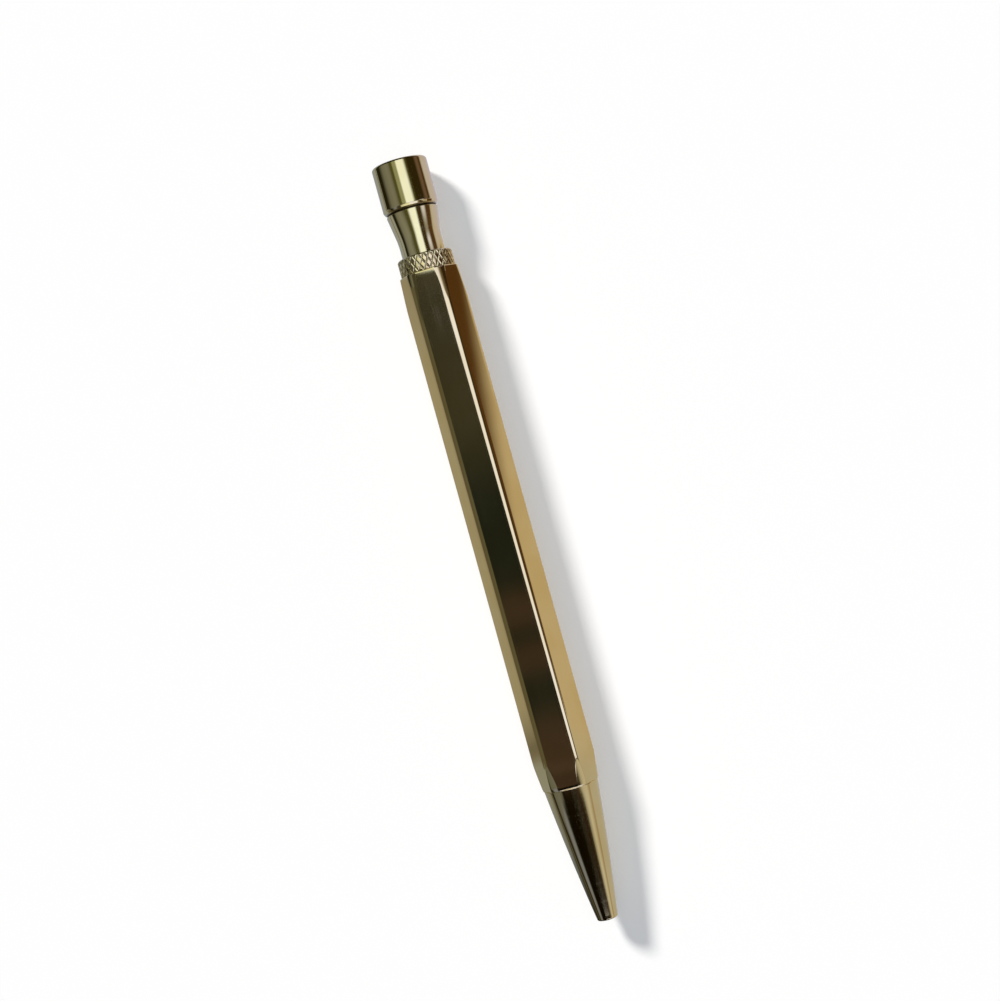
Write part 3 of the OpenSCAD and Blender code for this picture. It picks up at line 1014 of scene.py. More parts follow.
        return ring_surface(heights, radii, turns, np.concatenate([rim, plain]))

    def dress(self) -> None:
        """Makes the barrel and gives it its finish."""
        seat(self.build().to_piece("barrel_shell"), "barrel", GOLD_BAR, "barrel")


@dataclass
class NoseCone:
    """The conical nose with its screw thread, and the rubber ring behind it."""

    length: float = AXIS.nose_len
    rear_d: float = 9.6
    tip_d: float = 3.6
    bulge: float = 0.15
    edge: float = 0.3
    edge_turn: float = 84.0
    edge_rows: int = 8
    rear_edge: float = 0.1
    rear_gap: float = 0.35
    side_rows: int = 40
    hole_r: float = 1.295
    hole_bevel: float = 0.1
    chamber_r: float = 2.47
    chamber_z: float = 8.5
    bore_r: float = 3.1
    bore_z: float = 16.6
    bore_step: float = 0.6
    bore_bevel: float = 0.12
    soft: float = 0.05
    fine_soft: float = 0.03
    plain_end_z: float = 24.9
    thread_end_z: float = 30.0
    thread_start: float = 0.1
    thread_gap: float = 0.06
    thread_end_gap: float = 0.01
    thread_rows: int = 124
    crest_play: float = 0.04
    start_slope: float = 1.2
    end_slope: float = 0.8
    end_len: float = 0.6
    columns: int = 144
    seal_r: float = 4.27
    seal_section: float = 0.5
    seal_seam: float = 0.03
    seal_z: float = 24.3
    seal_rows: int = 28
    seal_columns: int = 96

    def _side(self, z: np.ndarray) -> np.ndarray:
        """Radius of the cone: a straight line from tip to rear, swollen by a parabola."""
        t = z / self.length
        return self.tip_d / 2 + (self.rear_d - self.tip_d) / 2 * t + 4 * self.bulge * t * (1 - t)

    def _threaded(self, turn: np.ndarray) -> tuple[np.ndarray, np.ndarray]:
        """Works out the thread.

        The radius is the shared thread's, filled up by a cone where it starts, and cut
        back to just under the crest and by a shallower cone where it ends.

        Args:
            turn: Angles of the columns.

        Returns:
            Heights by row, as a column, and radii by row and column.
        """
        end, crest_r = self.thread_end_z, THREAD.crest_r
        low, high = self.plain_end_z + self.thread_gap, end - self.thread_end_gap
        z = np.linspace(low, high, self.thread_rows)[:, None]
        start = crest_r - self.start_slope * (z - self.plain_end_z)
        taper = self.end_slope * np.maximum(z - (end - self.end_len), 0)
        filled = np.maximum(THREAD.radius(z, turn), start)
        return z, np.minimum(filled, crest_r - self.crest_play - taper)

    def build(self) -> Surface:
        """Works out the nose.

        Rows go up the cone from its rounded rim, over the rear face and the plain root of
        the spigot, up the thread, and down the bores to the writing end. The thread takes
        the place of one point of the softened profile.

        Returns:
            The closed surface.
        """
        arc = np.radians(np.linspace(0, self.edge_turn, self.edge_rows))
        rim_r = self._side(self.edge) - self.edge * (1 - np.sin(arc))
        side_z = np.linspace(self.edge, self.length - self.rear_gap, self.side_rows)
        end, crest_r, soft, fine = self.thread_end_z, THREAD.crest_r, self.soft, self.fine_soft
        stand_in = (self.plain_end_z + self.thread_start, crest_r - self.crest_play)
        profile, rubbed = softened(np.concatenate([
            profile_rows(self.edge * (1 - np.cos(arc)), rim_r),
            profile_rows(side_z, self._side(side_z)),
            [
                (self.length, self.rear_d / 2, self.rear_edge),
                (self.length, crest_r, fine),
                (self.plain_end_z, crest_r, fine),
                (*stand_in, 0.0),
                (end, self.bore_r + self.bore_bevel, 0.0),
                (end - self.bore_bevel, self.bore_r, fine),
                (self.bore_z, self.bore_r, soft),
                (self.bore_z - self.bore_step, self.chamber_r, soft),
                (self.chamber_z, self.chamber_r, soft),
                (self.chamber_z, self.hole_r, soft),
                (self.hole_bevel, self.hole_r, fine),
                (0.0, self.hole_r + self.hole_bevel, fine),
            ],
        ]), True)
        split = int(np.argmin(np.abs(profile - stand_in).sum(axis=1)))
        turn = turns_of(self.columns)
        thread_z, thread_r = self._threaded(turn)
        z, r = profile[:, :1], over_columns(profile[:, 1], self.columns)
        z = np.concatenate([z[:split], thread_z, z[split + 1:]])
        r = np.concatenate([r[:split], thread_r, r[split + 1:]])
        rim = np.concatenate([rubbed[:split], np.zeros(len(thread_z)), rubbed[split + 1:]])
        return ring_surface(z, r, turn, rim[:, None])

    def build_seal(self) -> Surface:
        """Works out the seal, a ring of round section with the thin seam of its mould.

        The section's radius is held back by the seam's height, but for the eighth power of
        the cosine of twice the angle round it.

        Returns:
            The closed surface.
        """
        around = turns_of(self.seal_rows).T
        seam = self.seal_seam * (np.cos(2 * around) ** 8 - 1)
        section = self.seal_section / 2 * (1 + seam)
        z, r = self.seal_z - section * np.cos(around), self.seal_r + section * np.sin(around)
        return ring_surface(z, r, turns_of(self.seal_columns), np.zeros((1, 1)))

    def dress(self) -> None:
        """Makes the nose and its seal and gives them their finishes."""
        seat(self.build().to_piece("nose_shell"), "nose", GOLD_TURNED, "nose_cone")
        seat(self.build_seal().to_piece("nose_seal_ring"), "seal", RUBBER, "nose_seal")


@dataclass
class KnurledCollar:
    """The collar: a band with a cut diamond knurl, and the sleeve that holds it in the barrel."""

    band_z: float = AXIS.barrel_end_z
    band_len: float = AXIS.collar_len
    band_r: float = 4.85
    depth: float = 0.125
    count: int = 28
    rows: float = 1.5
    cells: int = 16
    groove_share: float = 0.36
    flank_rub: float = 0.7
    top_rub: float = 0.25
    # Painted shade at the bottom of the grooves, and the share of the groove's depth where it
    # starts.
    grime: float = 0.6
    grime_from: float = 0.75
    chamfer: float = 0.22
    low_chamfer: float = 0.1
    foot_z: float = 107.988
    foot_soft: float = 0.1
    sleeve_r: float = 4.31889
    bore_r: float = 4.06889
    bore_soft: float = 0.05
    ledge_z: float = 113.988
    guide_r: float = 2.78
    mouth: float = 0.3
    mouth_round: float = 0.04
    lip: Stretch = (0.03, 0.01)

    def _groove(self, place: np.ndarray) -> np.ndarray:
        """Depth share of a V groove on each whole number."""
        away = np.abs(place - np.round(place)) * 2
        return np.clip(1 - away / self.groove_share, 0, 1)

    def _wear(self, cut: np.ndarray) -> np.ndarray:
        """Rubbed shares of the knurl: flanks by height, tops evenly, and painted shade in the
        grooves.
        """
        rub = self.flank_rub * (1 - cut) * (cut > 0) + self.top_rub * (cut == 0)
        return rub - self.grime * np.clip((cut - self.grime_from) / (1 - self.grime_from), 0, 1)

    def _split_cells(self, surface: Surface, steps: int, columns: int) -> None:
        """Splits each cell of the band along the groove that is nearer to it.

        Args:
            surface: The collar, whose first faces are the band's.
            steps: Rows of cells.
            columns: Cells in a row.
        """
        row, column = np.divmod(np.arange(steps * columns), columns)
        place, rise = (column + 0.5) / self.cells, self.rows * (row + 0.5) / steps
        slanted = (self._groove(place + rise) > self._groove(place - rise))[:, None]
        a, b, c, d = surface.quads[: steps * columns].T
        first = np.where(slanted, np.stack([a, b, d], -1), np.stack([a, b, c], -1))
        second = np.where(slanted, np.stack([b, c, d], -1), np.stack([a, c, d], -1))
        surface.triangles = np.concatenate([first, second])
        surface.quads = surface.quads[steps * columns:]

    def build(self) -> Surface:
        """Works out the collar.

        Two families of grooves slant round the band either way. Each is a V whose depth
        falls from the groove's line to nothing over a share of the spacing, the radius is
        the band's less the deeper of the two, and a chamfer limits it at both ends.

        Returns:
            The closed surface.
        """
        columns, steps = self.count * self.cells, round(self.rows * self.cells)
        turn, rise = turns_of(columns), np.linspace(0, 1, steps + 1)[:, None]
        around, up = self.count * turn / (2 * np.pi), self.rows * rise
        cut = np.maximum(self._groove(around + up), self._groove(around - up))
        from_top, from_foot = self.band_len * (1 - rise), self.band_len * rise
        taken = np.maximum(self.chamfer - from_top, self.low_chamfer - from_foot)
        limit = self.band_r - np.maximum(taken, 0)
        band_r = np.minimum(self.band_r - self.depth * cut, limit)
        top, mouth_r = self.band_z + self.band_len, self.bore_r + self.mouth
        lip_depth, lip_in = self.lip
        inside, rubbed = softened(np.array([
            (top, mouth_r + self.mouth_round, 0.0),
            (top - lip_depth, mouth_r - lip_in, 0.0),
            (top - self.mouth, self.bore_r, self.mouth_round),
            (self.ledge_z, self.bore_r, self.bore_soft),
            (self.ledge_z, self.guide_r, self.bore_soft),
            (self.foot_z, self.guide_r, self.bore_soft),
            (self.foot_z, self.sleeve_r, self.foot_soft),
            (self.band_z, self.sleeve_r, 0.0),
        ]), False)
        z = np.concatenate([self.band_z + self.band_len * rise, inside[:, :1]])
        r = np.concatenate([band_r, over_columns(inside[:, 1], columns)])
        rim = np.concatenate([self._wear(cut), over_columns(rubbed, columns)])
        surface = ring_surface(z, r, turn, rim)
        self._split_cells(surface, steps, columns)
        return surface

    def dress(self) -> None:
        """Makes the collar and gives it its finish."""
        seat(self.build().to_piece("collar_band"), "barrel", GOLD_KNURL, "knurled_collar")


@dataclass
class PushButton:
    """The push button: a domed head on a neck that flares out under it."""

    collar_z: float = AXIS.collar_top_z
    foot_drop: float = 0.6
    foot_bevel: float = 0.2
    neck_d: float = 7.6
    neck_top_d: float = 9.3
    neck_len: float = AXIS.neck_len
    neck_straight: float = 3.0
    bend: float = 1.0
    bend_rows: int = 16
    groove: float = 0.56
    groove_depth: float = 0.3
    grime_depth: float = 0.15
    head_d: float = 9.8
    head_len: float = AXIS.head_len
    head_bevel: float = 0.42
    head_bevel_depth: float = 0.215
    head_edge: float = 0.42
    edge_rows: int = 14
    edge_gap: float = 0.1
    head_dome: float = 0.4
    dome_start: float = 0.94
    dome_rows: int = 18
    soft: float = 0.05
    bore_soft: float = 0.08
    lip_soft: float = 0.03
    brim_soft: float = 0.04
    bore_r: float = 2.72
    bore_end_z: float = 126.838
    columns: int = 160

    def _neck(self, h: np.ndarray) -> np.ndarray:
        """Radius of the neck: straight, then a flare, with a parabola between.

        Args:
            h: Heights over the collar.

        Returns:
            Radii.
        """
        slope = (self.neck_top_d - self.neck_d) / 2 / (self.neck_len - self.neck_straight)
        x = h - self.neck_straight
        curve = (np.clip(x, -self.bend, self.bend) + self.bend) ** 2 / (4 * self.bend)
        return self.neck_d / 2 + slope * (curve + np.maximum(x - self.bend, 0))

    def _top(self, top: float) -> np.ndarray:
        """Works out the head's top: a quarter round, and a shallow dome that closes on the axis.

        Args:
            top: Height of the dome's middle.

        Returns:
            Rows of z, r and soft length.
        """
        r, edge, dome = self.head_d / 2, self.head_edge, self.head_dome
        flat_r = r - edge
        side_z = top - dome - edge
        dome_r = (flat_r**2 + dome**2) / (2 * dome)
        arc = np.linspace(0, math.pi / 2 - math.asin(flat_r / dome_r), self.edge_rows)
        edge_z, edge_r = side_z + edge * np.sin(arc), flat_r + edge * np.cos(arc)
        across = edge_r[-1] * np.linspace(self.dome_start, 0.0, self.dome_rows)
        dome_z = top - dome_r + np.sqrt(dome_r**2 - across**2)
        return np.concatenate([
            [(side_z - self.edge_gap, r, 0.0)],
            profile_rows(edge_z, edge_r),
            profile_rows(dome_z, across),
        ])

    def build(self) -> Surface:
        """Works out the button.

        The profile leaves the axis at the bottom of the bore, comes down the bore, goes up
        the neck, through a V groove and up the head, and closes on the axis. The groove
        is darkened by painted shade, which grows with its depth.

        Returns:
            The closed surface.
        """
        foot, head_z = self.collar_z - self.foot_drop, self.collar_z + self.neck_len
        r, neck_r = self.head_d / 2, self.neck_d / 2
        groove_z = head_z - self.groove
        lip = float(self._neck(np.array(self.neck_len - self.groove)))
        h = np.linspace(
            self.neck_straight - self.bend, self.neck_straight + self.bend, self.bend_rows
        )
        button = turned_surface(np.concatenate([
            [
                (self.bore_end_z, 0.0, 0.0),
                (self.bore_end_z, self.bore_r, self.bore_soft),
                (foot, self.bore_r, self.bore_soft),
                (foot, neck_r - self.foot_bevel, self.soft),
                (foot + self.foot_bevel, neck_r, self.soft),
            ],
            profile_rows(self.collar_z + h, self._neck(h)),
            [
                (groove_z, lip, self.soft),
                (head_z - self.groove / 2, lip - self.groove_depth, self.soft),
                (head_z, lip, self.lip_soft),
                (head_z, r - self.head_bevel_depth, self.brim_soft),
                (head_z + self.head_bevel, r, self.soft),
            ],
            self._top(head_z + self.head_len),
        ]), self.columns)
        z, r = AXIS.measure(button.points)
        sunk = (z > groove_z) & (z < head_z + MM) & (r > neck_r)
        # Painted shade in the groove under the head, darker the deeper it lies.
        grime = np.clip((lip - r) / self.grime_depth, 0, 1)
        button.rim = np.where(sunk, -grime, button.rim)
        return button

    def dress(self) -> None:
        """Makes the button and gives it its finish."""
        seat(self.build().to_piece("button_shell"), "button", GOLD_TURNED, "push_button")


@dataclass
class Refill:
    """The refill: drawn point, rolling ball, turned neck, tube, plug and ink."""

    ball_r: float = 0.5
    ball_z: float = 1.5
    ball_rows: int = 40
    ball_columns: int = 64
    point_r: float = 1.175
    point_end_z: float = 16.4
    lip_z: float = 1.3
    lip_round: Stretch = (0.02, 0.01)
    taper: float = 3.4
    taper_soft: float = 0.12
    ring_z: float = 6.2
    ring_len: float = 0.4
    ring_slope: float = 0.1
    ring_depth: float = 0.04
    ring_soft: float = 0.02
    channel_r: float = 0.25
    socket_r: float = 0.52
    socket_rows: int = 14
    neck_r: float = 1.55
    neck_z: float = 13.5
    neck_bevel: Stretch = (0.3, 0.15)
    neck_hole_len: float = 3.0
    neck_play: float = 0.02
    neck_bore_r: float = 0.5
    shoulder_z: float = 21.5
    shoulder_r: float = 2.95
    shoulder_len: float = 1.5
    shoulder_bevel: float = 0.4
    tube_gap: float = 0.05
    plug_r: float = 2.58
    plug_end_z: float = 26.0
    plug_bevel: float = 0.3
    soft: float = 0.05
    shank_soft: float = 0.08
    shoulder_soft: float = 0.06
    plug_soft: float = 0.03
    columns: int = 96

    def build_point(self) -> Surface:
        """Works out the drawn point: cone, ring, ink channel and the ball's socket.

        The socket is an arc round the ball's centre, from the channel to the lip.

        Returns:
            The closed surface.
        """
        low = math.acos((self.ball_z - self.lip_z) / self.socket_r)
        high = math.pi - math.asin(self.channel_r / self.socket_r)
        arc = np.linspace(high, low, self.socket_rows)
        socket_z, socket_r = self.ball_z - self.socket_r * np.cos(arc), self.socket_r * np.sin(arc)
        cone_z = self.lip_z + (self.point_r - self.ball_r) * self.taper
        lip_depth, lip_wide = self.lip_round
        ring_end_z, ring_r = self.ring_z + self.ring_len, self.point_r - self.ring_depth
        return turned_surface(np.concatenate([
            [
                (self.lip_z + lip_depth, self.ball_r + lip_wide, 0.0),
                (cone_z, self.point_r, self.taper_soft),
                (self.ring_z, self.point_r, 0.0),
                (self.ring_z + self.ring_slope, ring_r, self.ring_soft),
                (ring_end_z - self.ring_slope, ring_r, self.ring_soft),
                (ring_end_z, self.point_r, 0.0),
                (self.point_end_z, self.point_r, self.soft),
                (self.point_end_z, self.channel_r, self.soft),
            ],
            profile_rows(socket_z, socket_r),
        ]), self.columns)

    def build_ball(self) -> Surface:
        """Works out the ball: rings at the cosines of even angles from pole to pole.

        Returns:
            The closed surface.
        """
        polar = np.linspace(0, np.pi, self.ball_rows)
        z, r = self.ball_z - self.ball_r * np.cos(polar), self.ball_r * np.sin(polar)
        r[[0, -1]] = 0.0
        return turned_surface(profile_rows(z, r), self.ball_columns)

    def build_neck(self) -> Surface:
        """Works out the neck: shank inside the spring, shoulder, and the plug in the tube.

        Returns:
            The closed surface.
        """
        soft, hole_end_z = self.soft, self.neck_z + self.neck_hole_len
        hole_r, tube_z = self.point_r + self.neck_play, self.shoulder_z + self.shoulder_len
        bevel_len, bevel_depth = self.neck_bevel
        return turned_surface(np.array([
            (self.neck_z, self.neck_r - bevel_depth, soft),
            (self.neck_z + bevel_len, self.neck_r, soft),
            (self.shoulder_z, self.neck_r, self.shank_soft),
            (self.shoulder_z, self.shoulder_r - self.shoulder_bevel, soft),
            (self.shoulder_z + self.shoulder_bevel, self.shoulder_r, self.shoulder_soft),
            (tube_z - self.tube_gap, self.shoulder_r, soft),
            (tube_z - self.tube_gap, self.plug_r, self.plug_soft),
            (self.plug_end_z - self.plug_bevel, self.plug_r, soft),
            (self.plug_end_z, self.plug_r - self.plug_bevel, soft),
            (self.plug_end_z, self.neck_bore_r, soft),
            (hole_end_z, self.neck_bore_r, soft),
            (hole_end_z, hole_r, soft),
            (self.neck_z, hole_r, soft),
        ]), self.columns)

    def dress(self) -> None:
        """Makes the pieces that can show, and gives the rest their finishes."""
        seat(self.build_point().to_piece("point_drawn"), "refill", BRASS_TURNED, "point_tip")
        seat(self.build_ball().to_piece("point_ball_round"), "ball", STEEL_BALL, "point_ball")
        neck = self.build_neck().to_piece("refill_neck_turned")
        seat(neck, "refill", BRASS_TURNED, "refill_neck")
        dress_node("refill_tube", STEEL_DRAWN)
        dress_node("refill_plug", GREY_PLASTIC)
        dress_node("ink", INK)


# Rings of the half-domes that close the spring's cut ends, as sines up the dome, and how far
# the dome stands out, in wire radii: less than round, as a cut end is.
DOME_RINGS = np.array([0.995, 0.9, 0.7, 0.38])
DOME_HEIGHT = 0.35
DOME_TIP = 0.355


@dataclass
class ReturnSpring:
    """The return spring: one wire, wound close at both ends."""

    coil_r: float = 2.125
    wire_r: float = 0.225
    turns: float = 9.0
    close_turns: float = 1.0
    close_pace: float = 0.34
    close_until: float = 0.7
    close_ease: float = 0.6
    turn_steps: int = 40
    sides: int = 14
    seat_z: float = 8.5
    shoulder_z: float = 21.5
    gap: float = 0.05
    travel: float = 4.5

    def _path(self) -> tuple[np.ndarray, np.ndarray]:
        """Works out the helix that the wire follows.

        It climbs evenly but for a close turn at each end: the climb is the integral of a
        smooth step, scaled to the spring's length.

        Returns:
            Points as z, across and up, and the direction away from the axis at each.
        """
        total = self.turns + self.close_turns
        share = np.linspace(0, 1, int(total * self.turn_steps) + 1)
        from_end = np.minimum(share, 1 - share) * total
        ease = np.clip((from_end - self.close_until) / self.close_ease, 0, 1)
        pace = self.close_pace + ease**2 * (3 - 2 * ease)
        climb = np.concatenate([[0], np.cumsum((pace[1:] + pace[:-1]) / 2)])
        margin = self.gap + self.wire_r
        low, high = self.seat_z + margin, self.shoulder_z - margin
        z, turn = low + (high - low) * climb / climb[-1], 2 * np.pi * total * share
        out = np.stack([0 * turn, np.sin(turn), np.cos(turn)], axis=1)
        return self.coil_r * out + np.stack([z, 0 * z, 0 * z], axis=1), out

    def build(self) -> Surface:
        """Works out the spring, a round wire carried along a helix.

        The wire's circle lies across the path, and half-domes close both cut ends.

        Returns:
            The closed surface.
        """
        path, out = self._path()
        steps, caps = len(path), len(DOME_RINGS)
        along = np.gradient(path, axis=0)
        along /= np.linalg.norm(along, axis=1)[:, None]
        out -= along * np.sum(along * out, axis=1)[:, None]
        out /= np.linalg.norm(out, axis=1)[:, None]
        across = np.cross(along, out)
        index = np.pad(np.arange(steps), caps, mode="edge")
        rise = np.concatenate([-DOME_RINGS, np.zeros(steps), DOME_RINGS[::-1]])[:, None, None]
        size, push = np.sqrt(1 - rise**2), DOME_HEIGHT * rise
        around = turns_of(self.sides)[..., None]
        ring = np.cos(around) * out[index][:, None] + np.sin(around) * across[index][:, None]
        wire = self.wire_r * (size * ring + push * along[index][:, None])
        body = path[index][:, None] + wire
        tip = self.wire_r * DOME_TIP
        tips = np.stack([path[0] - tip * along[0], path[-1] + tip * along[-1]])
        points = AXIS.lay(*np.concatenate([body.reshape(-1, 3), tips]).T)
        rows = len(index)
        return Surface(points, grid_quads(rows, self.sides, False), end_fans(rows, self.sides))

    def dress(self) -> None:
        """Makes the spring on a mesh of its own and gives it its finish."""
        piece = self.build().to_piece("spring_wire")
        seat(piece, "barrel", STEEL_DRAWN, "refill_spring")
        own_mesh(piece)


@dataclass
class ClickMechanism:
    """The plastic click mechanism inside, carried over from the solids.

    Each field has the name of a node, and is its finish.
    """

    plunger: Finish = WHITE_PLASTIC
    rotor: Finish = GREY_PLASTIC
    cam_sleeve: Finish = WHITE_PLASTIC

    def dress(self) -> None:
        """Gives each piece its moulded finish."""
        for node, finish in vars(self).items():
            dress_node(node, finish)


# Studio


# Painted reflection colours of the cards at level 1, each named for what it stands in for.
# They are halved, and BAND_SCALE brings them back, so that bright ones fit a colour ramp.
BAND_SCALE = 2.0
BenchWork = Callable[[NodeBench], Socket]
BLACK_CLOTH_REFLECTION: Colour = (0.008, 0.008, 0.002)
GREEN_CLOTH_REFLECTION: Colour = (0.0065, 0.009, 0.008)
GREY_CLOTH_REFLECTION: Colour = (0.022, 0.023, 0.018)
OLIVE_CLOTH_REFLECTION: Colour = (0.040, 0.044, 0.019)
BLUE_CLOTH_REFLECTION: Colour = (0.105, 0.125, 0.205)
BROWN_CLOTH_REFLECTION: Colour = (0.026, 0.0185, 0.016)
UMBER_CLOTH_REFLECTION: Colour = (0.020, 0.015, 0.005)
RUST_CLOTH_REFLECTION: Colour = (0.038, 0.022, 0.009)
GREY_WALL_REFLECTION: Colour = (0.105, 0.120, 0.132)
BLUE_WALL_REFLECTION: Colour = (0.158, 0.190, 0.250)
GREEN_WALL_REFLECTION: Colour = (0.150, 0.182, 0.145)
PALE_WALL_REFLECTION: Colour = (0.440, 0.510, 0.530)
PANEL_HIGHLIGHT: Colour = (0.485, 0.550, 0.860)
BUTTON_HIGHLIGHT: Colour = (0.500, 0.615, 0.820)
GREY_TABLE_REFLECTION: Colour = (0.180, 0.180, 0.156)
TAN_TABLE_REFLECTION: Colour = (0.265, 0.240, 0.200)
PALE_TABLE_REFLECTION: Colour = (0.270, 0.280, 0.300)
BLUE_TABLE_REFLECTION: Colour = (0.265, 0.270, 0.370)

# Bands of painted reflection on the cards: each stop has its place, a colour and the colour's
# level. The place is an angle from straight up, in degrees, or lies along x, in metres.
CLOTH_ENDS: Stretch = (-0.15, 0.15)
CLOTH_ALONG: Bands = (
    (-0.140, GREY_CLOTH_REFLECTION, 1.2),
    (-0.118, GREY_CLOTH_REFLECTION, 0.78),
    (-0.058, GREY_CLOTH_REFLECTION, 1.04),
    (-0.015, GREEN_CLOTH_REFLECTION, 1.05),
    (0.0305, GREEN_CLOTH_REFLECTION, 1.0),
    (0.0385, BROWN_CLOTH_REFLECTION, 1.04),
    (0.0490, BROWN_CLOTH_REFLECTION, 1.04),
    (0.0535, GREEN_CLOTH_REFLECTION, 1.0),
    (0.0585, GREEN_CLOTH_REFLECTION, 1.0),
    (0.0625, BROWN_CLOTH_REFLECTION, 1.0),
    (0.0725, BROWN_CLOTH_REFLECTION, 1.0),
    (0.0780, GREEN_CLOTH_REFLECTION, 1.0),
    (0.0930, GREEN_CLOTH_REFLECTION, 0.97),
    (0.1040, BROWN_CLOTH_REFLECTION, 0.92),
    (0.1350, BROWN_CLOTH_REFLECTION, 1.1),
)
TABLE_ENDS: Stretch = (-0.1, 0.1)
TABLE_RIGHT: Bands = (
    (-0.0555, BLUE_TABLE_REFLECTION, 1.0),
    (-0.0535, TAN_TABLE_REFLECTION, 1.0),
    (0.0360, TAN_TABLE_REFLECTION, 1.0),
    (0.0480, PALE_TABLE_REFLECTION, 0.87),
)
TABLE_LEFT: Bands = (
    (-0.0515, BLUE_WALL_REFLECTION, 1.0),
    (-0.0490, GREY_TABLE_REFLECTION, 0.84),
    (-0.0300, GREY_TABLE_REFLECTION, 1.01),
    (0.0300, GREY_TABLE_REFLECTION, 0.98),
    (0.0345, GREY_TABLE_REFLECTION, 0.72),
    (0.0378, GREY_TABLE_REFLECTION, 0.46),
    (0.0392, GREY_TABLE_REFLECTION, 0.55),
    (0.0412, GREY_WALL_REFLECTION, 1.35),
    (0.0460, GREY_WALL_REFLECTION, 1.37),
    (0.0600, BLUE_WALL_REFLECTION, 0.53),
    (0.0690, GREY_WALL_REFLECTION, 0.2),
)
BARREL_BANDS: Bands = (
    (-92.0, GREY_CLOTH_REFLECTION, 2.5),
    (-38.0, GREY_CLOTH_REFLECTION, 2.7),
    (-31.0, GREY_CLOTH_REFLECTION, 0.93),
    (40.0, UMBER_CLOTH_REFLECTION, 0.83),
    (66.0, UMBER_CLOTH_REFLECTION, 0.97),
    (88.0, RUST_CLOTH_REFLECTION, 0.92),
)
FRONT_BANDS: Bands = (
    (-92.0, BLACK_CLOTH_REFLECTION, 1.0),
    (-84.0, BLACK_CLOTH_REFLECTION, 1.0),
    (-78.0, GREY_WALL_REFLECTION, 0.66),
    (-44.0, GREY_WALL_REFLECTION, 0.76),
    (-36.0, UMBER_CLOTH_REFLECTION, 0.2),
    (-18.0, BROWN_CLOTH_REFLECTION, 0.92),
    (6.0, BROWN_CLOTH_REFLECTION, 0.92),
    (24.0, BROWN_CLOTH_REFLECTION, 0.5),
    (36.0, TAN_TABLE_REFLECTION, 0.32),
    (46.0, PALE_TABLE_REFLECTION, 0.93),
    (72.0, PALE_TABLE_REFLECTION, 1.0),
    (84.0, TAN_TABLE_REFLECTION, 0.66),
    (92.0, TAN_TABLE_REFLECTION, 0.96),
)
NOSE_BANDS: Bands = (
    (-92.0, GREY_WALL_REFLECTION, 0.46),
    (-88.0, BLACK_CLOTH_REFLECTION, 1.15),
    (-80.0, BLACK_CLOTH_REFLECTION, 1.15),
    (-70.0, BLUE_CLOTH_REFLECTION, 0.95),
    (-58.0, BLUE_CLOTH_REFLECTION, 1.0),
    (-48.0, UMBER_CLOTH_REFLECTION, 0.12),
    (-2.0, UMBER_CLOTH_REFLECTION, 0.15),
    (14.0, GREY_CLOTH_REFLECTION, 0.5),
    (25.0, BROWN_CLOTH_REFLECTION, 0.52),
    (35.0, RUST_CLOTH_REFLECTION, 0.3),
    (44.0, GREY_CLOTH_REFLECTION, 1.1),
    (52.0, PALE_TABLE_REFLECTION, 0.67),
    (63.0, PALE_TABLE_REFLECTION, 1.06),
    (71.0, PALE_TABLE_REFLECTION, 0.95),
    (84.0, TAN_TABLE_REFLECTION, 0.62),
    (92.0, TAN_TABLE_REFLECTION, 0.95),
)
HEAD_BANDS: Bands = (
    (-99.0, BLUE_WALL_REFLECTION, 1.0),
    (-94.5, BLACK_CLOTH_REFLECTION, 1.0),
    (-79.0, BLACK_CLOTH_REFLECTION, 1.0),
    (-62.0, GREY_WALL_REFLECTION, 0.81),
    (-44.0, GREY_WALL_REFLECTION, 1.0),
    (-35.0, GREY_WALL_REFLECTION, 0.86),
    (-27.0, OLIVE_CLOTH_REFLECTION, 1.0),
    (-21.0, OLIVE_CLOTH_REFLECTION, 1.17),
    (-17.0, GREEN_WALL_REFLECTION, 1.0),
    (-6.5, GREEN_WALL_REFLECTION, 1.0),
    (-2.0, BUTTON_HIGHLIGHT, 1.01),
    (22.0, BUTTON_HIGHLIGHT, 0.99),
    (31.0, OLIVE_CLOTH_REFLECTION, 0.95),
    (40.0, UMBER_CLOTH_REFLECTION, 0.7),
    (66.0, UMBER_CLOTH_REFLECTION, 0.69),
    (75.0, BROWN_CLOTH_REFLECTION, 2.6),
    (82.0, BROWN_CLOTH_REFLECTION, 2.7),
    (89.0, RUST_CLOTH_REFLECTION, 0.9),
    (94.0, RUST_CLOTH_REFLECTION, 0.9),
    (98.0, PALE_TABLE_REFLECTION, 0.72),
)
